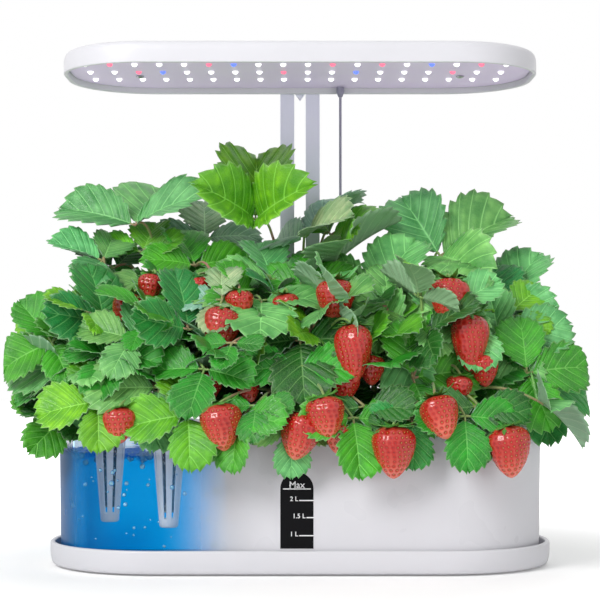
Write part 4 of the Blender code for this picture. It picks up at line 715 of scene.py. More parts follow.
def scatter_tree():
    """Copies of one shape on points, each with its own size, facing and spin."""
    tree = bpy.data.node_groups.new("scatter", "GeometryNodeTree")
    kinds = {"Points": "Geometry", "Shape": "Object", "Finish": "Material", "Spin": "Float", "Seed": "Int"}
    for name, kind in kinds.items():
        tree.interface.new_socket(name, in_out="INPUT", socket_type="NodeSocket" + kind)
    tree.interface.new_socket("Result", in_out="OUTPUT", socket_type="NodeSocketGeometry")
    nodes, links = tree.nodes, tree.links
    given = nodes.new("NodeGroupInput")
    result = nodes.new("NodeGroupOutput")
    shape = nodes.new("GeometryNodeObjectInfo")
    links.new(given.outputs["Shape"], shape.inputs["Object"])
    size = nodes.new("GeometryNodeInputNamedAttribute")
    size.data_type = "FLOAT_VECTOR"
    size.inputs["Name"].default_value = "size"
    facing = nodes.new("GeometryNodeInputNamedAttribute")
    facing.data_type = "FLOAT_VECTOR"
    facing.inputs["Name"].default_value = "facing"
    align = nodes.new("FunctionNodeAlignRotationToVector")
    align.axis = "Z"
    links.new(facing.outputs["Attribute"], align.inputs["Vector"])
    spin = nodes.new("FunctionNodeRandomValue")
    spin.data_type = "FLOAT"
    links.new(given.outputs["Spin"], spin.inputs[3])
    links.new(given.outputs["Seed"], spin.inputs["Seed"])
    about = nodes.new("FunctionNodeAxisAngleToRotation")
    about.inputs["Axis"].default_value = (0.0, 0.0, 1.0)
    links.new(spin.outputs[1], about.inputs["Angle"])
    turned = nodes.new("FunctionNodeRotateRotation")
    turned.rotation_space = "LOCAL"
    links.new(align.outputs["Rotation"], turned.inputs["Rotation"])
    links.new(about.outputs["Rotation"], turned.inputs["Rotate By"])
    copies = nodes.new("GeometryNodeInstanceOnPoints")
    links.new(given.outputs["Points"], copies.inputs["Points"])
    links.new(shape.outputs["Geometry"], copies.inputs["Instance"])
    links.new(turned.outputs["Rotation"], copies.inputs["Rotation"])
    links.new(size.outputs["Attribute"], copies.inputs["Scale"])
    real = nodes.new("GeometryNodeRealizeInstances")
    links.new(copies.outputs["Instances"], real.inputs["Geometry"])
    finish = nodes.new("GeometryNodeSetMaterial")
    links.new(real.outputs["Geometry"], finish.inputs["Geometry"])
    links.new(given.outputs["Finish"], finish.inputs["Material"])
    links.new(finish.outputs["Geometry"], result.inputs["Result"])
    return tree


SCATTER = scatter_tree()


def scattered(name, shape, places, finish, sizes=None, facings=None, spin=0.0, seed=1):
    """One plain mesh of a shape repeated at places. The shape's own object is removed by the caller."""
    data = bpy.data.meshes.new(name)
    data.from_pydata([tuple(p) for p in places], [], [])
    size = data.attributes.new("size", "FLOAT_VECTOR", "POINT")
    facing = data.attributes.new("facing", "FLOAT_VECTOR", "POINT")
    sizes = sizes or [(1.0, 1.0, 1.0)] * len(places)
    facings = facings or [(0.0, 0.0, 1.0)] * len(places)
    size.data.foreach_set("vector", np.array([tuple(s) for s in sizes], np.float32).ravel())
    facing.data.foreach_set("vector", np.array([tuple(f) for f in facings], np.float32).ravel())
    points = bpy.data.objects.new(name + "_points", data)
    bpy.context.collection.objects.link(points)
    step = points.modifiers.new("scatter", "NODES")
    step.node_group = SCATTER
    wanted = {"Shape": shape, "Finish": finish, "Spin": float(spin), "Seed": seed}
    for item in SCATTER.interface.items_tree:
        if item.in_out == "INPUT" and item.name in wanted:
            step[item.identifier] = wanted[item.name]
    result = as_evaluated(points)
    points.modifiers.remove(step)
    bpy.data.objects.remove(points)
    made = bpy.data.objects.new(name, result)
    bpy.context.collection.objects.link(made)
    result.shade_smooth()
    result.set_sharp_from_angle(angle=math.radians(50.0))
    return made


def ball(radius=1.0, subdivisions=3):
    """A round shape to be repeated."""
    mesh = bmesh.new()
    bmesh.ops.create_icosphere(mesh, subdivisions=subdivisions, radius=radius)
    return piece("ball", mesh)


def bubble_finish():
    """A blue bubble with painted light and shade: dark round its rim and bright in its middle, as the light
    it bends would leave it.
    """
    made, tree, shader = surface_of("bubble")
    front = node(tree, "SeparateXYZ", {0: node(tree, "TexCoord").outputs["Normal"]}).outputs["Y"]
    middle = maths(tree, "ABSOLUTE", front)
    # Painted shade round the rim and painted light in the middle, set by which way the surface faces
    dark = between(tree, middle, 0.35, 0.90, 1.0, 0.0)
    colour = blended(tree, dark, BUBBLE_PAINTED_LIGHT, BUBBLE_PAINTED_RIM_SHADE)
    tree.links.new(colour, shader.inputs["Base Color"])
    tree.links.new(between(tree, middle, 0.35, 0.95, 0.88, 0.50), shader.inputs["Alpha"])
    set_plain(shader, {"Roughness": 0.04, "Coat Weight": 0.6})
    return made


def water_wall(x):
    """The inside of the tank's front wall at a place along it."""
    inset = TANK_WALL + TANK_LEAN + WATER_GAP
    half_x, half_y = TANK_LENGTH / 2 - inset, TANK_DEPTH / 2 - inset
    radius = TANK_CORNER - inset
    over = max(0.0, abs(x) - (half_x - radius))
    return -(half_y - radius + math.sqrt(max(radius**2 - over**2, 0.0)))


chance = random.Random(BUBBLE_SEED)
bubble_places, bubble_sizes = [], []
for _ in range(BUBBLE_COUNT):
    x = chance.uniform(-0.155, -0.040)
    z = chance.uniform(0.018, WATER_LEVEL - 0.008)
    radius = 0.0006 + 0.0019 * chance.random() ** 3
    bubble_places.append((x, water_wall(x) + radius * 0.2, z))
    bubble_sizes.append((radius,) * 3)
for _ in range(FOAM_COUNT):
    x = chance.uniform(-0.158, -0.055)
    radius = 0.0008 + 0.0030 * chance.random() ** 2
    y = chance.uniform(0.0, WATER_DIVIDE)
    bubble_places.append((x, y, WATER_LEVEL + wave(x, y) + chance.uniform(-0.0115, -0.001)))
    bubble_sizes.append((radius,) * 3)
bubble_ball = ball()
bubbles = scattered("bubbles", bubble_ball, bubble_places, bubble_finish(), bubble_sizes)
bpy.data.objects.remove(bubble_ball)
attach(bubbles, "tank")

# Planting deck and refill lid
#
# The deck is moulded in the same white plastic as the tray and rests on the tank's rim. The lid's
# steel pin runs in two ears that stand on the deck.

finished(white_plastic, "deck", "fill_lid")
steel = moulded_plastic("turned_steel", (0.56, 0.56, 0.58), 0.28)
steel.node_tree.nodes["Principled BSDF"].inputs["Metallic"].default_value = 1.0
finished(steel, "fill_lid_pin")

# Net pods and their growing medium
#
# Ten tapering cups of smoky translucent plastic hang through the deck. Long slots between their
# ribs let the water in, and dark peat with granules fills them to just above their tips.

POD_PITCH = 0.088
POD_ROW = 0.040
POD_PLACES = [((k - (count - 1) / 2) * POD_PITCH, row * POD_ROW, 0.0)
              for row, count in ((-1, 3), (0, 4), (1, 3)) for k in range(count)]
DECK_TOP = 0.0960
CUP_TIP_Z = 0.0275
CUP_TIP_RADIUS = 0.0062
CUP_MOUTH_RADIUS = 0.0118
CUP_WALL = 0.0009
CUP_STEPS = 64
CUP_ROWS = 30
CUP_SLOTS = 8
CUP_TIP_ROUND = 0.0014
# Radii and rise of the rings that close its tip, and of those that turn its flange outward
CUP_TIP_LEVELS = ((0.0012, 0.0002), (0.0030, 0.0001), (CUP_TIP_RADIUS * 0.85, 0.0003))
CUP_FLANGE_LEVELS = ((CUP_MOUTH_RADIUS, 0.0008), (0.0144, 0.0009), (0.0144, 0.0012))
SLOT_LOW = CUP_TIP_Z + 0.005
SLOT_HIGH = 0.081


def cup_radius(z):
    """The cup's outside radius at a height."""
    return CUP_TIP_RADIUS + (CUP_MOUTH_RADIUS - CUP_TIP_RADIUS) * (z - CUP_TIP_Z) / (DECK_TOP - CUP_TIP_Z)


def net_cup():
    """One slotted cup about Z, with a flange that lies on the deck and holes in its tip."""
    mesh = bmesh.new()
    levels = [(radius, CUP_TIP_Z + rise) for radius, rise in CUP_TIP_LEVELS]
    levels += [(cup_radius(z), z) for z in np.linspace(CUP_TIP_Z + CUP_TIP_ROUND, DECK_TOP, CUP_ROWS)]
    levels += [(radius, DECK_TOP + rise) for radius, rise in CUP_FLANGE_LEVELS]
    rows = [[mesh.verts.new(point) for point in ring_at(0.0, 0.0, z, radius, CUP_STEPS, 0.5)]
            for radius, z in levels]
    per_slot = CUP_STEPS // CUP_SLOTS
    for n, (low, high) in enumerate(zip(rows, rows[1:])):
        z = (low[0].co.z + high[0].co.z) / 2
        for k in range(CUP_STEPS):
            in_slot = (k + per_slot // 2) % per_slot in (0, 1, per_slot - 1) and SLOT_LOW < z < SLOT_HIGH
            hole = n == 1 and k % 16 in (3, 4, 5)
            if not in_slot and not hole:
                m = (k + 1) % CUP_STEPS
                mesh.faces.new((low[k], low[m], high[m], high[k]))
    mesh.faces.new(list(reversed(rows[0])))
    made = piece("net_cup", mesh)
    wall = made.modifiers.new("wall", "SOLIDIFY")
    wall.thickness = CUP_WALL
    wall.offset = -1.0
    made.data = as_evaluated(made)
    made.modifiers.clear()
    return made


def smoke_finish():
    """Thin smoky plastic, partly see-through."""
    made = moulded_plastic("smoke_plastic", (0.74, 0.77, 0.83), 0.35)
    shader = made.node_tree.nodes["Principled BSDF"]
    # Painted glow: the cups shine faintly in pale blue, so they read lighter through the water
    set_plain(shader, {
        "Alpha": 0.84,
        "Emission Color": (0.60, 0.68, 0.80, 1.0),
        "Emission Strength": 0.16,
    })
    return made


cup = net_cup()
net_cups = scattered("net_cups", cup, POD_PLACES, smoke_finish())
bpy.data.objects.remove(cup)
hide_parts(*[f"basket_{number}" for number in range(1, 11)])
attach(net_cups, "deck")


def peat_finish():
    """Dark damp peat with pale and rusty granules."""
    made, tree, shader = surface_of("peat")
    place = in_millimetres(tree)
    crumbs = node(tree, "TexVoronoi", {"Vector": place, "Scale": 1.1}, feature="F1")
    tone = noise(tree, place, 0.9, 5.0)
    dark = blended(tree, tone, (0.012, 0.010, 0.009), (0.115, 0.085, 0.060))
    pale = node(tree, "SeparateColor", {0: crumbs.outputs["Color"]}).outputs[0]
    speck = between(tree, pale, 0.86, 0.90)
    tree.links.new(blended(tree, speck, dark, (0.42, 0.40, 0.34)), shader.inputs["Base Color"])
    shader.inputs["Roughness"].default_value = 0.95
    bumped(tree, crumbs.outputs["Distance"], 0.9, 0.0012)
    return made


def peat_plug():
    """The filling of one cup, with a crumbly top."""
    rough = random.Random(3)
    rings = []
    for z in np.linspace(CUP_TIP_Z + 0.0105, DECK_TOP - 0.0005, 22):
        radius = cup_radius(z) - CUP_WALL - 0.0003
        angles = [2 * math.pi * k / 32 for k in range(32)]
        rings.append([((radius - rough.uniform(0.0, 0.0005)) * math.cos(a),
                       (radius - rough.uniform(0.0, 0.0005)) * math.sin(a), z) for a in angles])
    for share, lift in ((0.8, 0.0006), (0.55, 0.0011), (0.3, 0.0014), (0.1, 0.0015)):
        ring = [(x * share, y * share, DECK_TOP - 0.0005 + lift + rough.uniform(-0.0003, 0.0003))
                for x, y, _ in rings[21]]
        rings.append(ring)
    return piece("peat_plug", skinned(rings))


peat = peat_finish()
plug = peat_plug()
medium = scattered("peat_plugs", plug, POD_PLACES, peat)
bpy.data.objects.remove(plug)
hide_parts(*[f"growing_medium_{number}" for number in range(1, 11)])
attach(medium, "deck")

# Control housing
#
# A low white box behind the pods with two round push buttons, a board with their switches, the
# lamp cord's grommet and the low-voltage inlet.

black_plastic = moulded_plastic("black_plastic", (0.014, 0.014, 0.015), 0.35, 1.0)
board_green = moulded_plastic("board_green", (0.02, 0.15, 0.06), 0.4)
finished(white_plastic, "control_housing", "power_button", "timer_button")
finished(board_green, "control_board")
finished(black_plastic, "dc_inlet")
finished(pad_rubber, "cord_grommet")

# Pump
#
# A small black pump hangs under the deck on its riser, with a white impeller behind its inlet.

finished(black_plastic, "pump_body", "pump_cover", "pump_riser")
finished(white_plastic, "impeller")

# Mast and bracket
#
# Two flat rails of satin aluminium slide in the twin sleeve, and a folded bracket joins them to
# the back of the lamp.


def brushed_aluminium():
    """Satin aluminium with fine lines along Z."""
    made, tree, shader = surface_of("satin_aluminium")
    place = in_millimetres(tree)
    lines = noise(tree, vectors(tree, "MULTIPLY", place, (9.0, 9.0, 0.05)), 1.0, 3.0)
    tree.links.new(blended(tree, lines, (0.78, 0.78, 0.92), (0.88, 0.88, 1.00)),
                   shader.inputs["Base Color"])
    tree.links.new(between(tree, lines, 0.3, 0.7, 0.38, 0.55), shader.inputs["Roughness"])
    shader.inputs["Metallic"].default_value = 0.06
    return made


finished(white_plastic, "mast_sleeve")
finished(brushed_aluminium(), "mast_rail_left", "mast_rail_right", "lamp_bracket")

# Lamp
#
# A long oval cover of white plastic with a rounded upper edge, open below. A lavender-grey panel
# closes it, held by two screws, with three rows of eighteen diodes in white, red and blue.

LAMP_LENGTH = 0.3263
LAMP_DEPTH = 0.140
LAMP_CORNER = 0.0585
LAMP_BOTTOM = 0.336
LAMP_TOP = 0.351
LAMP_WALL = 0.0028
PANEL_Z = 0.3403
PANEL_TOP = 0.3419
PANEL_GREY = (0.85, 0.71, 0.98)
DIODE_PITCH = 0.0168
DIODE_ROW = 0.031
DIODE_SHIFT = (-0.003, -0.006)
DIODE_RADIUS = 0.0021
DIODE_STRETCH = (1.0, 1.0, 0.95)
# One group for each column from the left, its letters from the front row to the back
DIODE_COLOURS = "WWW RWW WRW WBW WWW RWW BWW WWW WRW WWW RWW WBW RWW WWW BWW WRW RWW WWW"

cover_profile = [
    (LAMP_WALL + 0.006, LAMP_TOP - 0.0028, 0.0),
    (LAMP_WALL + 0.003, LAMP_TOP - 0.0028, 0.0015),
    (LAMP_WALL + 0.003, PANEL_TOP + 0.0003, 0.0),
    (LAMP_WALL, PANEL_TOP + 0.0003, 0.0),
    (LAMP_WALL, LAMP_BOTTOM, 0.0010),
    (0.0, LAMP_BOTTOM, 0.0010),
    (0.0, LAMP_TOP, 0.0075),
    (0.012, LAMP_TOP, 0.0),
]
cover = piece("lamp_shell", oval_stack(LAMP_LENGTH, LAMP_DEPTH, LAMP_CORNER, cover_profile, 8),
              finishes=[white_plastic])
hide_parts("lamp_cover")
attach(cover, "lamp")

panel_grey = moulded_plastic("panel_grey", PANEL_GREY, 0.42)
panel_profile = [(LAMP_WALL + 0.0005, PANEL_Z, 0.0), (LAMP_WALL + 0.0005, PANEL_TOP, 0.0)]
panel = piece("lamp_panel", oval_stack(LAMP_LENGTH, LAMP_DEPTH, LAMP_CORNER, panel_profile),
              finishes=[panel_grey])
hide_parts("led_board")
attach(panel, "lamp")


def diode_finish(name, colour, strength):
    """The lit lens of a diode."""
    made, tree, shader = surface_of(name)
    place = in_millimetres(tree)
    mottle = noise(tree, place, 0.5)
    tree.links.new(blended(tree, mottle, colour, tuple(min(1.0, c * 1.1) for c in colour)),
                   shader.inputs["Base Color"])
    set_plain(shader, {
        "Emission Color": (*colour, 1.0),
        "Emission Strength": strength,
        "Roughness": 0.2,
    })
    return made


DIODES = {
    "W": ("white_diodes", (0.97, 0.97, 1.0), 1.6),
    "R": ("red_diodes", (0.92, 0.16, 0.26), 0.9),
    "B": ("blue_diodes", (0.12, 0.20, 0.95), 1.0),
}
lens = ball(DIODE_RADIUS, 2)
for letter, (name, colour, strength) in DIODES.items():
    places = []
    for column, group in enumerate(DIODE_COLOURS.split()):
        for row, found in enumerate(group):
            if found == letter:
                x, y = (column - 8.5) * DIODE_PITCH, (row - 1) * DIODE_ROW
                places.append((x + DIODE_SHIFT[0], y + DIODE_SHIFT[1], PANEL_Z))
    finish = diode_finish(name, colour, strength)
    diodes = scattered(name, lens, places, finish, [DIODE_STRETCH] * len(places))
    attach(diodes, "lamp")
bpy.data.objects.remove(lens)

finished(steel, "lamp_screw_left", "lamp_screw_right")

# Lamp cord
#
# A thin grey cord drops straight from the lamp's tapered gland to the grommet on the housing.

CORD_X = 0.0297
CORD_Y = 0.0628
CORD_LOW = 0.1139
CORD_HIGH = 0.3327
CORD_RADIUS = 0.00095
CORD_POINTS = 40

cord_grey = moulded_plastic("cord_grey", (0.30, 0.29, 0.38), 0.5)
cord_path = [(CORD_X, CORD_Y, CORD_HIGH + (CORD_LOW - CORD_HIGH) * k / (CORD_POINTS - 1))
             for k in range(CORD_POINTS)]
cord_rings = [ring_at(*point, CORD_RADIUS, 12) for point in reversed(cord_path)]
lamp_cord = piece("cord", skinned(cord_rings), finishes=[cord_grey])
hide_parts("lamp_cord")
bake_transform(lamp_cord)
finished(cord_grey, "lamp_gland")

# Strawberry plants
#
# Ten plants grow out of the pods. Each leaf is three toothed, veined leaflets on a long stem, and
# the berries hang on thinner ones. Leaves and berries are placed by shares of the foliage's reach.

REACH = (0.200, 0.105, 0.200)
LEAFLET_LENGTH = 0.052
LEAFLET_WIDTH_SHARE = 0.86
LEAF_THICKNESS = 0.00032
TEETH = 9
# Within each tooth: how far it stands out and leans ahead, as shares of the teeth's spacing
TOOTH_OUT = (0.0, 0.50, 1.0, 0.42)
TOOTH_AHEAD = (0.0, 0.15, 0.42, 0.20)
TOOTH_DEPTH = 0.40
ACROSS = (-1.0, -0.82, -0.58, -0.32, -0.1, 0.0, 0.1, 0.32, 0.58, 0.82, 1.0)
LEAFLET_SPREAD = 82
SIDE_SHARE = 0.90
# How far a leaflet swells between its veins and sways along its rim, as shares of its length
SWELL_SHARE = 0.0016 / 0.045
SWAY_SHARE = 0.028
STALK = 0.0042
CROWN_TOP = DECK_TOP + 0.0066
CROWN_RADIUS = 0.0085
STEM_UPRIGHT = 0.006
STEM_ARCH = 0.020
STEM_KNEE_SHARE = 0.42
STEM_RADIUS = 0.0013
STALK_RADII = (0.0009, 0.0007)
# Greens given to whole leaves: partly the leaves' own range of greens and partly painted light and shade.
# The dark green is painted shade; the silver green is partly a painted sheen on lit faces.
LEAF_GREENS = {
    "pale": (0.190, 0.580, 0.175),
    "silver": (0.340, 0.540, 0.350),
    "fresh": (0.150, 0.520, 0.010),
    "grass": (0.060, 0.420, 0.014),
    "strong": (0.016, 0.330, 0.012),
    "cool": (0.014, 0.310, 0.055),
    "dark": (0.006, 0.135, 0.008),
}

# Each leaf: its pod, where its leaflets meet as shares of the reach, the heading, pitch, roll,
# cupping and fold of its leaflets in degrees, its size share and its green
LEAVES_SHARES = [
    (8, (-0.59, 0.29, 0.70), (74, 40, -6, 26, 24), 1.14, "pale"),
    (8, (-0.56, 0.24, 0.60), (75, 45, 0, 20, 15), 0.62, "fresh"),
    (8, (-0.66, 0.24, 0.545), (160, 30, -25, 10, 15), 0.62, "dark"),
    (8, (-0.345, 0.48, 0.66), (95, 50, 0, 5, 10), 0.80, "silver"),
    (9, (-0.16, 0.33, 0.72), (90, 64, 0, 56, 42), 1.12, "fresh"),
    (9, (0.02, 0.29, 0.655), (40, 42, -10, 10, 20), 1.00, "silver"),
    (9, (0.11, 0.38, 0.665), (5, 35, 20, 10, 20), 0.75, "fresh"),
    (10, (0.50, 0.29, 0.590), (12, 33, 42, 26, 34), 1.12, "pale"),
    (10, (0.44, -0.19, 0.425), (20, 38, 25, 5, 15), 0.75, "pale"),
    (4, (-0.69, 0.05, 0.565), (180, 25, -30, 10, 15), 0.70, "pale"),
    (4, (-0.74, -0.43, 0.19), (182, 2, -55, 5, 10), 0.90, "pale"),
    (4, (-0.78, -0.10, 0.30), (165, 28, -45, 5, 15), 0.90, "fresh"),
    (4, (-0.76, -0.20, 0.26), (150, 10, -60, 5, 10), 0.75, "dark"),
    (4, (-0.88, 0.14, 0.20), (185, 5, -30, 5, 20), 0.50, "strong"),
    (4, (-0.66, -0.38, 0.34), (118, 68, 10, 5, 15), 0.85, "cool"),
    (5, (-0.44, 0.0, 0.475), (-85, -28, 0, 12, 8), 0.95, "pale"),
    (5, (-0.13, -0.33, 0.42), (-90, -25, 0, 12, 8), 0.98, "pale"),
    (5, (-0.37, 0.14, 0.55), (120, 50, 0, 10, 20), 0.75, "grass"),
    (5, (-0.10, 0.05, 0.50), (110, 50, 0, 10, 20), 0.75, "pale"),
    (5, (-0.26, -0.48, 0.42), (175, 2, -45, 5, 15), 0.60, "silver"),
    (6, (0.125, 0.19, 0.56), (15, 42, -10, 10, 25), 1.00, "fresh"),
    (6, (0.26, -0.10, 0.43), (35, 55, 25, 10, 20), 1.00, "pale"),
    (6, (0.02, 0.0, 0.48), (75, 50, 0, 10, 15), 0.70, "grass"),
    (6, (0.30, -0.33, 0.40), (178, 5, -50, 5, 15), 0.75, "pale"),
    (7, (0.70, 0.14, 0.40), (25, 52, 25, 10, 20), 0.95, "pale"),
    (7, (0.69, -0.05, 0.41), (178, 8, -50, 5, 15), 0.80, "cool"),
    (7, (0.72, -0.14, 0.375), (25, 42, 45, 5, 10), 0.60, "fresh"),
    (7, (0.69, -0.24, 0.27), (-5, 22, 62, 10, 15), 0.85, "pale"),
    (7, (0.76, -0.43, 0.175), (5, 10, 66, 8, 10), 0.80, "grass"),
    (7, (0.81, -0.19, 0.12), (0, -2, 50, 5, 15), 0.85, "cool"),
    (1, (-0.655, -0.76, 0.085), (190, -8, -58, 5, 14), 0.70, "fresh"),
    (1, (-0.36, -0.86, 0.045), (190, -8, -58, 5, 14), 0.72, "fresh"),
    (1, (-0.46, -0.71, 0.13), (190, 0, -58, 5, 10), 0.85, "pale"),
    (1, (-0.37, -0.57, 0.32), (115, 72, 10, 5, 15), 0.80, "cool"),
    (1, (-0.52, -0.59, 0.335), (-110, -40, 0, 5, 10), 0.40, "strong"),
    (1, (-0.61, -0.62, 0.245), (-115, -50, -10, 5, 20), 0.66, "strong"),
    (1, (-0.31, -0.76, 0.19), (-115, -50, -10, 5, 20), 0.66, "strong"),
    (1, (-0.55, -0.66, 0.29), (175, 15, -50, 5, 15), 0.62, "pale"),
    (2, (0.0, -0.59, 0.285), (-85, -48, 5, 8, 8), 0.90, "dark"),
    (2, (-0.01, -0.71, 0.20), (-90, -62, 0, 10, 12), 0.72, "strong"),
    (2, (-0.22, -0.80, 0.275), (-110, -40, 0, 5, 10), 0.40, "strong"),
    (2, (-0.14, -0.91, 0.075), (-100, -50, 0, 5, 10), 0.45, "strong"),
    (2, (0.21, -0.78, 0.07), (-95, -60, 10, 5, 12), 0.62, "dark"),
    (2, (0.17, -0.86, 0.035), (-70, -66, 0, 5, 12), 0.70, "grass"),
    (2, (-0.03, -0.84, 0.0), (-80, -72, 0, 5, 12), 0.52, "pale"),
    (2, (-0.19, -0.88, 0.035), (-115, -60, 10, 5, 15), 0.62, "grass"),
    (3, (0.37, -0.62, 0.16), (5, 10, 66, 8, 10), 0.80, "grass"),
    (3, (0.31, -0.43, 0.27), (-5, 22, 62, 10, 15), 0.85, "pale"),
    (3, (0.59, -0.48, 0.345), (180, -5, -60, 5, 15), 0.70, "pale"),
    (3, (0.58, -0.78, 0.07), (-95, -60, 0, 5, 12), 0.62, "dark"),
    (3, (0.53, -0.84, 0.04), (-85, -62, 0, 5, 10), 0.62, "strong"),
    (3, (0.36, -0.82, 0.03), (-85, -70, 0, 5, 12), 0.56, "cool"),
    (3, (0.78, -0.66, 0.085), (0, -34, 0, 5, 38), 0.70, "pale"),
    (6, (0.33, -0.20, 0.17), (-80, -30, 0, 5, 10), 0.85, "dark"),
    (6, (0.26, -0.25, 0.12), (-110, -35, 0, 5, 10), 0.80, "strong"),
    (8, (-0.62, 0.62, 0.36), (135, 20, 0, 10, 18), 1.00, "grass"),
    (9, (-0.25, 0.66, 0.42), (110, 25, 0, 10, 18), 0.90, "cool"),
    (10, (0.30, 0.64, 0.44), (70, 20, 0, 10, 18), 0.90, "grass"),
    (10, (0.62, 0.60, 0.34), (45, 20, 0, 10, 18), 1.00, "strong"),
]
FILLER_SEED = 11
FILLER_COUNT = 125
# Among these, the dark green is painted shade
FILLER_GREENS = ("pale", "fresh", "grass", "grass", "strong", "strong", "cool", "dark", "dark")
LEAF_SEED = 21
# Along X and along Y: how far out leaves start to be drawn in, and by how much more they reach
RIM_SOFTENING = ((0.186, 0.0125), (0.100, 0.0138))
# Space kept by leaves from the hardware, the pods' flanges and the tank's wall, the height in which
# they bend to lie on the deck, and the steps that bring them forward
LEAF_ROOM = 0.0015
FLANGE_ROOM = 0.0016
WALL_ROOM = 0.001
FOLD_ROOM = 0.003
FORWARD_STEP = 0.002
FORWARD_STEPS = 22
MERGE_DISTANCE = 0.000002


def leaf_finish():
    """Green leaf tissue: pale sunken veins, a fine network between them and a pale underside."""
    made, tree, shader = surface_of("leaf_tissue")
    spread = node(tree, "SeparateXYZ", {0: node(tree, "UVMap", uv_map="vein").outputs["UV"]})
    across = maths(tree, "MULTIPLY_ADD", spread.outputs["X"], 2.0, -1.0)
    side = maths(tree, "ABSOLUTE", across)
    count = maths(tree, "MULTIPLY", spread.outputs["Y"], float(TEETH))
    phase = maths(tree, "FRACT", count)
    off = maths(tree, "SUBTRACT", phase, 0.5)
    away = maths(tree, "ABSOLUTE", off)
    slimmer = maths(tree, "MULTIPLY_ADD", side, 0.7, 0.45)
    thinned = maths(tree, "MULTIPLY", away, slimmer)
    vein = between(tree, thinned, 0.008, 0.050, 1.0, 0.0)
    rib = between(tree, side, 0.010, 0.045, 1.0, 0.0)
    lines = maths(tree, "MAXIMUM", vein, rib)
    painted = node(tree, "VertexColor", layer_name="green")
    place = in_millimetres(tree)
    net = node(tree, "TexVoronoi", {"Vector": place, "Scale": 0.62}, feature="DISTANCE_TO_EDGE")
    cells = between(tree, net.outputs["Distance"], 0.0, 0.16)
    patch = noise(tree, place, 0.09, 4.0)
    deep = vectors(tree, "MULTIPLY", painted.outputs["Color"], (0.38, 0.56, 0.45))
    bright = vectors(tree, "MULTIPLY", painted.outputs["Color"], (1.30, 1.14, 1.15))
    mottled = blended(tree, between(tree, patch, 0.30, 0.72), deep, bright)
    # Painted shade: darker green in the sunken valleys along the veins
    valley = between(tree, away, 0.5, 0.18, 0.0, 0.45)
    shaded = blended(tree, valley, mottled, deep)
    netted = blended(tree, between(tree, cells, 0.0, 1.0, 0.16, 0.0), shaded, (0.20, 0.46, 0.10))
    edged = blended(tree, between(tree, side, 0.94, 1.0, 0.0, 0.30), netted, (0.45, 0.66, 0.32))
    light = vectors(tree, "ADD", painted.outputs["Color"], (0.16, 0.26, 0.10))
    veined = blended(tree, maths(tree, "MULTIPLY", lines, 0.70), edged, light)
    pale = blended(tree, lines, (0.30, 0.44, 0.34), (0.50, 0.64, 0.48))
    under = blended(tree, 0.72, painted.outputs["Color"], pale)
    tree.links.new(blended(tree, painted.outputs["Alpha"], under, veined), shader.inputs["Base Color"])
    tree.links.new(between(tree, patch, 0.3, 0.7, 0.34, 0.50), shader.inputs["Roughness"])
    height = maths(tree, "MULTIPLY_ADD", cells, 0.5, lines)
    bumped(tree, height, 0.45, 0.0006, invert=True)
    shader.inputs["Specular IOR Level"].default_value = 0.5
    return made


def stem_finish():
    """Hairy green stems that blush pink."""
    made, tree, shader = surface_of("stem_tissue")
    place = in_millimetres(tree)
    blush = noise(tree, place, 0.045, 2.0)
    tree.links.new(blended(tree, between(tree, blush, 0.42, 0.68), (0.20, 0.36, 0.08),
                           (0.42, 0.20, 0.14)), shader.inputs["Base Color"])
    down = noise(tree, place, 2.5, 2.0)
    bumped(tree, down, 0.5, 0.0003)
    set_plain(shader, {"Roughness": 0.5, "Sheen Weight": 0.3})
    return made


def drawn_in(points):
    """Points near the foliage's rim, drawn smoothly back within it."""
    drawn = np.array(points)
    for axis, (start, room) in enumerate(RIM_SOFTENING):
        beyond = np.maximum(np.abs(drawn[:, axis]) - start, 0.0)
        near = np.minimum(np.abs(drawn[:, axis]), start) + room * np.tanh(beyond / room)
        drawn[:, axis] = np.sign(drawn[:, axis]) * near
    return drawn


def grown_box(name, room):
    """A node's box with some room all round it."""
    low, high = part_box(name)
    return np.array(low) - room, np.array(high) + room


kept_clear = [grown_box(name, LEAF_ROOM) for name in ("mast_sleeve", "mast_rail_left", "mast_rail_right",
                                                      "control_housing", "power_button", "timer_button",
                                                      "lamp_cord", "lamp_bracket")]
lid_low, lid_high = grown_box("fill_lid", LEAF_ROOM)
lid_high[2] += lid_high[1] - lid_low[1]
kept_clear.append((lid_low, lid_high))


def in_the_way(points):
    """Whether any point lies in the mast, the housing, the cord or the lid's path."""
    return any(((points > low) & (points < high)).all(axis=1).any() for low, high in kept_clear)


def resting_on_deck(points):
    """A leaf's points, lifted smoothly off the deck, or moved out of the tank by its nearest wall."""
    kept = np.array(points)
    over = np.abs(kept[:, :2]) - (np.array((TANK_LENGTH, TANK_DEPTH)) / 2 - TANK_CORNER)
    beyond = np.maximum(over, 0.0)
    reach = np.linalg.norm(beyond, axis=1)
    inside = TANK_CORNER + WALL_ROOM - reach - np.minimum(over.max(axis=1), 0.0)
    height = kept[:, 2] - DECK_TOP - FLANGE_ROOM
    lifted = (inside > 0.0) & (height < FOLD_ROOM) & (-height < inside)
    kept[lifted, 2] += FOLD_ROOM * np.exp(height[lifted] / FOLD_ROOM - 1) - height[lifted]
    moved = (inside > -WALL_ROOM) & (height < 0.0) & (-height >= inside)
    outward = np.sign(kept[:, :2]) * beyond / np.maximum(reach, 1e-9)[:, None]
    shift = inside + WALL_ROOM * np.exp(-inside / WALL_ROOM - 1)
    kept[moved, :2] += (outward * shift[:, None])[moved]
    return kept


def poles_closed(data):
    """Merges points that lie on each other, at the ends of stems and berries."""
    mesh = bmesh.new()
    mesh.from_mesh(data)
    bmesh.ops.remove_doubles(mesh, verts=mesh.verts, dist=MERGE_DISTANCE)
    mesh.to_mesh(data)
    mesh.free()


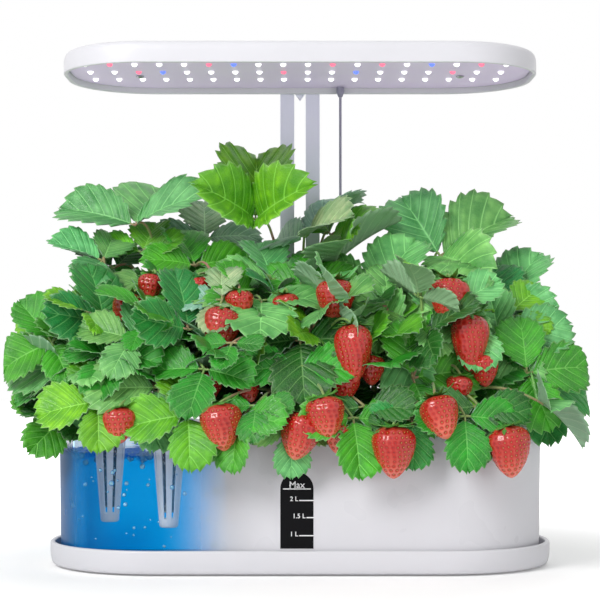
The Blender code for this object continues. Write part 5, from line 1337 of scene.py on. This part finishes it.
class Growth:
    """Points, faces, vein places and greens gathered for one plant."""

    def __init__(self):
        self.points, self.faces, self.veins, self.greens, self.slots = [], [], [], [], []
        self.count = 0

    def add(self, points, faces, veins, green, slot):
        """Takes in one sheet or tube."""
        self.points.append(points)
        self.faces.append(faces + self.count)
        self.veins.append(veins)
        self.greens.append(np.broadcast_to(green, (len(points), 4)) if np.ndim(green) == 1 else green)
        self.slots.append(np.full(len(faces), slot))
        self.count += len(points)

    def take(self, other):
        """Takes in all of another growth."""
        self.faces += [faces + self.count for faces in other.faces]
        self.points += other.points
        self.veins += other.veins
        self.greens += other.greens
        self.slots += other.slots
        self.count += other.count

    def finish(self, name, finishes):
        """One object of all that was gathered."""
        points, faces = drawn_in(np.concatenate(self.points)), np.concatenate(self.faces)
        data = bpy.data.meshes.new(name)
        data.from_pydata(points.tolist(), [], faces.tolist())
        corner_of = np.zeros(len(data.loops), np.int32)
        data.loops.foreach_get("vertex_index", corner_of)
        uv = data.uv_layers.new(name="vein")
        uv.data.foreach_set("uv", np.concatenate(self.veins)[corner_of].astype(np.float32).ravel())
        colour = data.color_attributes.new("green", "FLOAT_COLOR", "POINT")
        colour.data.foreach_set("color", np.concatenate(self.greens).astype(np.float32).ravel())
        data.polygons.foreach_set("material_index", np.concatenate(self.slots).astype(np.int32))
        for finish in finishes:
            data.materials.append(finish)
        poles_closed(data)
        data.shade_smooth()
        made = bpy.data.objects.new(name, data)
        bpy.context.collection.objects.link(made)
        return made


def leaflet_sheet(length, hand, fold, chance):
    """One toothed leaflet along +Y: its upper surface as rows of points, each along a vein's line."""
    per_tooth = len(TOOTH_OUT)
    rows = (TEETH - 1) * per_tooth + 3
    count = (np.arange(rows) / per_tooth)[:, None]
    share = count / count[-1]
    turn = 0.10 + 0.893 * share
    across = np.array(ACROSS)[None, :]
    side = np.abs(across)
    half = length * LEAFLET_WIDTH_SHARE / 2
    girth = np.sin(math.pi * turn) ** 0.9 * np.sin(math.pi * turn / 2) ** 0.8
    rim = np.concatenate([half * girth / 0.807, length * (0.5 - 0.5 * np.cos(math.pi * turn))], axis=1)
    ahead = np.gradient(rim, axis=0)
    ahead /= np.linalg.norm(ahead, axis=1, keepdims=True)
    out = np.stack([ahead[:, 1], -ahead[:, 0]], axis=1)
    spacing = np.linalg.norm(np.diff(rim, axis=0), axis=1).sum() / TEETH
    grown = np.clip((turn - 0.15) / 0.12, 0.0, 1.0)
    step = np.arange(rows) % per_tooth
    lean = np.array(TOOTH_AHEAD)[step][:, None] * grown
    lean[-1] = 0.0
    rim = rim + spacing * (out * np.array(TOOTH_OUT)[step][:, None] * TOOTH_DEPTH * grown + ahead * lean)
    middle = share**2.2 * length
    lopsided = 1 + hand * 0.14 * np.sign(across)
    x = across * lopsided * np.maximum(rim[:, :1], 0.0006)
    y = middle + (rim[:, 1:] - middle) * side**1.15
    tilt = math.tan(math.radians(fold + chance.uniform(-5, 7)))
    droop = chance.uniform(0.06, 0.26)
    phase = count % 1.0
    swell = SWELL_SHARE * length * np.abs(np.cos(math.pi * phase))
    swell = swell * np.sqrt(side * np.clip(1.25 - side, 0, 1))
    waves = np.sin(2 * math.pi * (1.5 * share + chance.random()))
    sway = SWAY_SHARE * length * waves * side**2 * np.sign(across)
    curl = 0.14 * half * side**3 * chance.uniform(-1.0, 0.5)
    z = tilt * np.abs(x) - droop * length * (y / length) ** 2 + swell * grown + sway + curl
    points = np.stack(np.broadcast_arrays(x, y, z), axis=-1)
    veins = np.stack(np.broadcast_arrays(across * 0.5 + 0.5, count / TEETH), axis=-1)
    return points, veins


def normals_of(points):
    """Upward normals at each point of a sheet."""
    lengthwise = np.gradient(points, axis=0)
    crosswise = np.gradient(points, axis=1)
    normal = np.cross(crosswise, lengthwise)
    return normal / np.maximum(np.linalg.norm(normal, axis=-1, keepdims=True), 1e-12)


def sheet_faces(rows, columns):
    """Faces of a closed sheet: its upper side, its lower side and its rim."""
    index = np.arange(rows * columns).reshape(rows, columns)
    top = np.stack([index[:-1, :-1], index[:-1, 1:], index[1:, 1:], index[1:, :-1]], axis=-1).reshape(-1, 4)
    bottom = top[:, (0, 3, 2, 1)] + rows * columns
    rim = np.concatenate([index[0, :], index[1:, -1], index[-1, -2::-1], index[-2:0:-1, 0]])
    after = np.roll(rim, -1)
    edge = np.stack([rim, rim + rows * columns, after + rows * columns, after], axis=-1)
    return np.concatenate([top, bottom, edge])


def add_leaflet(growth, joint, heading, across, up, length, hand, fold, green, chance):
    """Puts one leaflet on its joint."""
    points, veins = leaflet_sheet(length, hand, fold, chance)
    rows, columns = points.shape[:2]
    frame_axes = np.array([tuple(across), tuple(heading), tuple(up)])
    upper = points @ frame_axes + np.array(tuple(joint + heading * STALK * 0.8))
    lower = (points - normals_of(points) * LEAF_THICKNESS) @ frame_axes
    lower = lower + np.array(tuple(joint + heading * STALK * 0.8))
    both = resting_on_deck(np.concatenate([upper.reshape(-1, 3), lower.reshape(-1, 3)]))
    vein_both = np.concatenate([veins.reshape(-1, 2)] * 2)
    painted = np.ones((len(both), 4))
    painted[:, :3] = green
    painted[rows * columns:, 3] = 0.0
    growth.add(both, sheet_faces(rows, columns), vein_both, painted, 0)


def add_tube(growth, points, radii, sides=7, slot=1):
    """A stem through points, closed at both ends."""
    rings = []
    side = Vector((1.0, 0.0, 0.0))
    for k, point in enumerate(points):
        ahead = (points[min(k + 1, len(points) - 1)] - points[max(k - 1, 0)]).normalized()
        side = (side - ahead * side.dot(ahead)).normalized()
        other = ahead.cross(side)
        circle = ring_at(0.0, 0.0, 0.0, radii[k], sides)
        rings.append([tuple(point + x * side + y * other) for x, y, _ in circle])
    rings = [[tuple(points[0])] * sides] + rings + [[tuple(points[-1])] * sides]
    count = len(rings)
    index = np.arange(count * sides).reshape(count, sides)
    nxt = np.roll(index, -1, axis=1)
    faces = np.stack([index[:-1], nxt[:-1], nxt[1:], index[1:]], axis=-1).reshape(-1, 4)
    flat = np.array(rings).reshape(-1, 3)
    growth.add(flat, faces, np.zeros((len(flat), 2)), np.array([0.1, 0.3, 0.05, 1.0]), slot)


def leaf_axes(angles):
    """Heading, sideways and upward directions of a leaf from its angles in degrees."""
    azimuth, pitch, roll = (math.radians(a) for a in angles[:3])
    level = math.cos(pitch)
    heading = Vector((level * math.cos(azimuth), level * math.sin(azimuth), math.sin(pitch)))
    side = Vector((math.sin(azimuth), -math.cos(azimuth), 0.0))
    up = side.cross(heading).normalized()
    turn = Matrix.Rotation(roll, 3, heading)
    return heading, turn @ side, turn @ up


def stem_points(root, end, steps=12):
    """A stem that leaves the crown upright and bends over to its end."""
    start = root + Vector((0.0, 0.0, STEM_UPRIGHT))
    knee = start.lerp(end, STEM_KNEE_SHARE)
    knee.z = max(end.z, start.z) + STEM_ARCH
    points = [root]
    for k in range(steps + 1):
        t = k / steps
        points.append((1 - t) ** 2 * start + 2 * t * (1 - t) * knee + t**2 * end)
    return points


def reach_point(shares):
    """A point of the foliage from its shares of the reach."""
    return Vector((shares[0] * REACH[0], shares[1] * REACH[1], DECK_TOP + shares[2] * REACH[2]))


def stem_root(pod, target, chance):
    """A place on the pod's crown, on the side of the leaf or berry."""
    centre = Vector(POD_PLACES[pod - 1])
    toward = Vector((target.x - centre.x, target.y - centre.y, 0.0))
    out = toward.normalized() * CROWN_RADIUS * chance.uniform(0.2, 0.7)
    wander = Vector((chance.uniform(-1, 1), chance.uniform(-1, 1), 0.0)) * CROWN_RADIUS * 0.2
    return centre + out + wander + Vector((0.0, 0.0, CROWN_TOP - 0.001))


def add_leaf(growth, pod, joint, angles, size, green, chance):
    """A whole leaf, moved forward step by step until it is clear of the hardware."""
    state = chance.getstate()
    for step in range(FORWARD_STEPS):
        chance.setstate(state)
        leaf = Growth()
        draw_leaf(leaf, pod, joint - Vector((0.0, step * FORWARD_STEP, 0.0)), angles, size, green, chance)
        if not in_the_way(np.concatenate(leaf.points)):
            break
    growth.take(leaf)


def draw_leaf(growth, pod, joint, angles, size, green, chance):
    """A whole leaf with its stem and three leaflets."""
    heading, side, up = leaf_axes(angles)
    cup = math.radians(angles[3])
    length = size * LEAFLET_LENGTH
    points = stem_points(stem_root(pod, joint, chance), joint)
    radii = [STEM_RADIUS * (1 - 0.35 * k / (len(points) - 1)) for k in range(len(points))]
    add_tube(growth, points, radii)
    spread = math.radians(LEAFLET_SPREAD)
    blades = [(heading, side, up, length, 0)]
    for hand in (-1, 1):
        outward = math.cos(spread) * heading + hand * math.sin(spread) * side
        lifted = math.cos(cup) * outward + math.sin(cup) * up
        normal = math.cos(cup) * up - math.sin(cup) * outward
        blades.append((lifted, lifted.cross(normal), normal, length * SIDE_SHARE, hand))
    for along, across, normal, reach, hand in blades:
        add_tube(growth, [joint - along * 0.0003, joint + along * STALK], STALK_RADII)
        warmth, light = chance.uniform(0.8, 1.3), chance.uniform(0.8, 1.2)
        red, grass, blue = LEAF_GREENS[green]
        shade = (red * light * warmth, grass * light, blue * light / warmth)
        add_leaflet(growth, joint, along, across, normal, reach, hand, angles[4], shade, chance)


def filler_places():
    """More leaves over the foliage's dome, from the nearest pods, facing up and outwards."""
    chance = random.Random(FILLER_SEED)
    rows = []
    for _ in range(FILLER_COUNT):
        z = chance.uniform(0.02, 0.46)
        x = chance.uniform(-0.86, 0.86 - 0.80 * z)
        z *= 1.0 - 0.35 * x * x
        depth = chance.uniform(-0.55, 0.45)
        nearest = min(range(10), key=lambda k: abs(POD_PLACES[k][0] - x * REACH[0]) * 1.0
                      + abs(POD_PLACES[k][1] - depth * REACH[1]))
        azimuth = math.degrees(math.atan2(depth - 0.25, x * 1.6)) + chance.uniform(-60, 60)
        pitch = chance.uniform(-25, 50)
        roll = chance.uniform(15, 60) * math.copysign(1.0, math.cos(math.radians(azimuth)))
        green = chance.choice(FILLER_GREENS)
        rows.append((nearest + 1, (x, depth, z), (azimuth, pitch, roll, chance.uniform(0, 18), 14.0),
                     chance.uniform(0.50, 0.82), green))
    return rows


leaf_green = leaf_finish()
stem_green = stem_finish()
leaf_chance = random.Random(LEAF_SEED)
growths = {pod: Growth() for pod in range(1, 11)}
for pod, shares, angles, size, green in LEAVES_SHARES + filler_places():
    add_leaf(growths[pod], pod, reach_point(shares), angles, size, green, leaf_chance)
for pod, growth in growths.items():
    centre = Vector(POD_PLACES[pod - 1])
    low, high = centre + Vector((0, 0, DECK_TOP + 0.0008)), centre + Vector((0, 0, CROWN_TOP))
    crown = [low, low.lerp(high, 0.5), high]
    add_tube(growth, crown, [CROWN_RADIUS * 0.9, CROWN_RADIUS * 0.8, CROWN_RADIUS * 0.55], 16)

# Strawberries
#
# Heart-shaped fruit that hang tip down, deep red by their leafy caps and salmon at their tips.
# Each seed sits in its own dimple with a pale rim.

# Each berry: its pod, its centre as shares of the reach, its radius in shares of the crown's, how
# much longer than round it is, and how deep its red is
BERRIES_SHARES = [
    (1, (-0.58, -0.43, 0.38), 1.34, 1.0, 0.7),
    (1, (-0.507, -0.33, 0.46), 1.05, 1.0, 0.8),
    (5, (-0.345, -0.33, 0.45), 1.05, 1.0, 0.8),
    (5, (-0.264, -0.59, 0.32), 1.52, 1.0, 0.7),
    (5, (-0.20, -0.43, 0.40), 1.15, 1.0, 0.5),
    (2, (-0.045, -0.38, 0.39), 1.11, 1.0, 0.8),
    (1, (-0.61, -0.52, 0.185), 1.05, 1.0, 0.7),
    (1, (-0.30, -0.62, 0.13), 1.05, 1.0, 0.8),
    (2, (-0.167, -0.69, 0.125), 0.94, 1.0, 0.8),
    (1, (-0.58, -0.86, 0.01), 1.23, 1.0, 0.4),
    (2, (-0.25, -0.95, 0.005), 1.61, 1.0, 0.5),
    (2, (0.0, -0.90, -0.025), 1.61, 1.0, 0.6),
    (6, (0.117, -0.48, 0.415), 1.56, 1.0, 0.8),
    (2, (0.176, -0.71, 0.24), 1.49, 1.35, 1.0),
    (6, (0.235, -0.59, 0.185), 1.05, 1.0, 1.0),
    (2, (0.144, -0.69, 0.13), 1.11, 1.0, 1.0),
    (2, (0.083, -0.965, 0.035), 1.49, 1.0, 0.5),
    (2, (0.12, -0.88, -0.03), 1.05, 1.0, 0.3),
    (3, (0.297, -0.92, -0.075), 1.69, 1.05, 0.6),
    (3, (0.50, -0.48, 0.415), 1.61, 1.0, 0.8),
    (3, (0.56, -0.59, 0.275), 1.52, 1.3, 1.0),
    (7, (0.61, -0.57, 0.185), 1.15, 1.0, 1.0),
    (3, (0.52, -0.65, 0.12), 1.05, 1.0, 1.0),
    (3, (0.45, -0.92, 0.035), 1.49, 1.0, 0.5),
    (7, (0.67, -0.86, -0.075), 1.69, 1.05, 0.6),
]
BERRY_SEED = 8
BERRY_STEM_RADIUS = 0.0009
BERRY_LENGTH_SHARE = 2.25
BERRY_AROUND = 76
BERRY_DOWN = 52
SEED_SPACING = 0.0034
SEED_SIZE = (0.00042, 0.00062, 0.00036)


def berry_finish():
    """Shiny red fruit, paler towards the tip, with a pale ring round each dimple and painted shade
    darkening the dimple itself.
    """
    made, tree, shader = surface_of("berry_flesh")
    flesh = node(tree, "VertexColor", layer_name="flesh")
    parts = node(tree, "SeparateColor", {0: flesh.outputs["Color"]})
    place = in_millimetres(tree)
    mottle = noise(tree, place, 0.12, 3.0)
    light = blended(tree, mottle, (0.66, 0.042, 0.020), (0.76, 0.085, 0.042))
    deep = blended(tree, mottle, (0.36, 0.004, 0.003), (0.54, 0.010, 0.006))
    skin = blended(tree, parts.outputs[0], light, deep)
    pale = between(tree, parts.outputs[0], 0.0, 0.8, 0.50, 0.10)
    ridge = maths(tree, "MULTIPLY", between(tree, parts.outputs[1], 0.34, 0.50), pale)
    ringed = blended(tree, ridge, skin, (0.90, 0.31, 0.20))
    # Painted shade: dark red in each dimple round its seed
    dimple_shade = between(tree, parts.outputs[1], 0.12, 0.34, 0.85, 0.0)
    tree.links.new(blended(tree, dimple_shade, ringed, (0.24, 0.006, 0.005)), shader.inputs["Base Color"])
    set_plain(shader, {"Roughness": 0.24, "Coat Weight": 0.35, "Coat Roughness": 0.12})
    return made


def berry_points(centre, radius, stretch, red, chance):
    """One berry: its points, faces, flesh colours, and its seeds' places and facings."""
    length = radius * BERRY_LENGTH_SHARE * stretch
    down = (0.5 - 0.5 * np.cos(math.pi * np.linspace(0.0, 1.0, BERRY_DOWN)))[:, None]
    turn = np.linspace(0.0, 2 * math.pi, BERRY_AROUND, endpoint=False)[None, :]
    shoulder = (1 - np.clip(1 - down / 0.30, 0.0, 1.0) ** 2.3) ** (1 / 2.3)
    lower = np.clip((down - 0.30) / 0.70, 0.0, 1.0)
    profile = shoulder * np.maximum(1 - lower**2.2, 0.0) ** 0.62 * (1 - 0.20 * lower)
    lobes = 1 + 0.035 * np.sin(3 * turn + chance.uniform(0, 6))
    lobes = lobes + 0.02 * np.sin(5 * turn + chance.uniform(0, 6))
    ring = radius * profile * lobes
    z = length / 2 - length * down + 0.0 * turn
    points = np.stack([ring * np.cos(turn), ring * np.sin(turn), z], axis=-1)
    seeds, facings = [], []
    rows = int(length * 1.12 / SEED_SPACING)
    for row in range(1, rows):
        share = row / rows
        here = float(np.interp(share, down[:, 0], profile[:, 0])) * radius
        around = max(1, int(2 * math.pi * here / (SEED_SPACING * 1.12)))
        for k in range(around):
            angle = 2 * math.pi * (k + 0.5 * (row % 2)) / around + chance.uniform(-0.03, 0.03)
            seeds.append((here * math.cos(angle), here * math.sin(angle), length / 2 - length * share))
            facings.append((math.cos(angle), math.sin(angle), (share - 0.42) * -1.2))
    seeds, facings = np.array(seeds), np.array(facings)
    facings = facings / np.linalg.norm(facings, axis=1, keepdims=True)
    flat = points.reshape(-1, 3)
    nearest = np.full(len(flat), 1.0)
    for seed in seeds:
        nearest = np.minimum(nearest, np.linalg.norm(flat - seed, axis=1))
    normal = normals_of(points).reshape(-1, 3)
    outward = np.where((normal * flat).sum(axis=1, keepdims=True) < 0, -normal, normal)
    depth = 0.00085 * np.exp(-((nearest / 0.00115) ** 2))
    depth[:BERRY_AROUND] = depth[-BERRY_AROUND:] = 0.0
    flat = flat - outward * depth[:, None]
    tilt = Matrix.Rotation(chance.uniform(-0.28, 0.28), 3, "Y")
    tilt = tilt @ Matrix.Rotation(chance.uniform(-0.3, 0.1), 3, "X")
    turning = np.array(tilt).T
    share = np.repeat(down, BERRY_AROUND, axis=1).reshape(-1)
    deep = np.clip(red + 0.90 - 1.45 * share, 0.0, 1.0)
    flesh = np.stack([deep, np.clip(nearest / SEED_SPACING * 0.9, 0, 1), np.zeros_like(deep)], axis=-1)
    index = np.arange(len(flat)).reshape(BERRY_DOWN, BERRY_AROUND)
    nxt = np.roll(index, -1, axis=1)
    faces = np.stack([index[:-1], index[1:], nxt[1:], nxt[:-1]], axis=-1).reshape(-1, 4)
    place = np.array(tuple(centre))
    return (flat @ turning + place, faces, flesh, (seeds - facings * 0.00065) @ turning + place,
            facings @ turning, tilt)


def add_cap(growth, top, tilt, radius, chance):
    """The green leafy cap on a berry's shoulder."""
    count = chance.randint(9, 12)
    for k in range(count):
        angle = 2 * math.pi * k / count + chance.uniform(-0.15, 0.15)
        out = tilt @ Vector((math.cos(angle), math.sin(angle), 0.0))
        up = tilt @ Vector((0.0, 0.0, 1.0))
        reach = radius * chance.uniform(0.75, 1.15)
        width = radius * 0.30
        lift = chance.uniform(-0.25, 0.55)
        cross = out.cross(up)
        rows = []
        for t, w in ((0.0, 0.5), (0.3, 1.0), (0.65, 0.75), (1.0, 0.08)):
            middle = top + out * (reach * t) + up * (reach * (lift * t * t - 0.18 * t) + 0.0006)
            rows.append([tuple(middle - cross * width * w / 2), tuple(middle + up * 0.0004),
                         tuple(middle + cross * width * w / 2)])
        upper = np.array(rows)
        lower = upper - np.array(tuple(up)) * 0.0003
        both = np.concatenate([upper.reshape(-1, 3), lower.reshape(-1, 3)])
        veins = np.zeros((len(both), 2)) + 0.3
        growth.add(both, sheet_faces(4, 3), veins, np.array([0.10, 0.34, 0.04, 1.0]), 0)


berry_red = berry_finish()
seed_finish = moulded_plastic("seed_husk", (0.52, 0.29, 0.06), 0.4)
berry_chance = random.Random(BERRY_SEED)
berry_points_all, berry_faces_all, berry_flesh_all, seed_places, seed_facings = [], [], [], [], []
berry_count = 0
for pod, shares, size, stretch, red in BERRIES_SHARES:
    radius = size * CROWN_RADIUS
    centre = reach_point(shares)
    points, faces, flesh, seeds, facings, tilt = berry_points(centre, radius, stretch, red, berry_chance)
    berry_points_all.append(points)
    berry_faces_all.append(faces + berry_count)
    berry_flesh_all.append(flesh)
    seed_places += seeds.tolist()
    seed_facings += facings.tolist()
    berry_count += len(points)
    top = centre + tilt @ Vector((0.0, 0.0, radius * BERRY_LENGTH_SHARE * stretch / 2))
    add_cap(growths[pod], top, tilt, radius, berry_chance)
    stem = stem_points(stem_root(pod, centre, berry_chance), top)
    add_tube(growths[pod], stem, [BERRY_STEM_RADIUS] * len(stem))
berry_mesh = bpy.data.meshes.new("berries")
berry_faces = np.concatenate(berry_faces_all)
berry_mesh.from_pydata(np.concatenate(berry_points_all).tolist(), [], berry_faces.tolist())
flesh_colour = berry_mesh.color_attributes.new("flesh", "FLOAT_COLOR", "POINT")
flesh_all = np.concatenate(berry_flesh_all)
flesh_all = np.concatenate([flesh_all, np.ones((len(flesh_all), 1))], axis=1).astype(np.float32)
flesh_colour.data.foreach_set("color", flesh_all.ravel())
berry_mesh.materials.append(berry_red)
poles_closed(berry_mesh)
berry_mesh.shade_smooth()
berries = bpy.data.objects.new("berries", berry_mesh)
bpy.context.collection.objects.link(berries)
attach(berries, "deck")

seed_shape = ball(1.0, 1)
seed_sizes = [SEED_SIZE] * len(seed_places)
seeds = scattered("berry_seeds", seed_shape, seed_places, seed_finish, seed_sizes, seed_facings)
bpy.data.objects.remove(seed_shape)
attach(seeds, "deck")

for pod, growth in growths.items():
    foliage = growth.finish(f"strawberry_{pod}", [leaf_green, stem_green])
    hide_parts(f"plant_{pod}")
    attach(foliage, "deck")
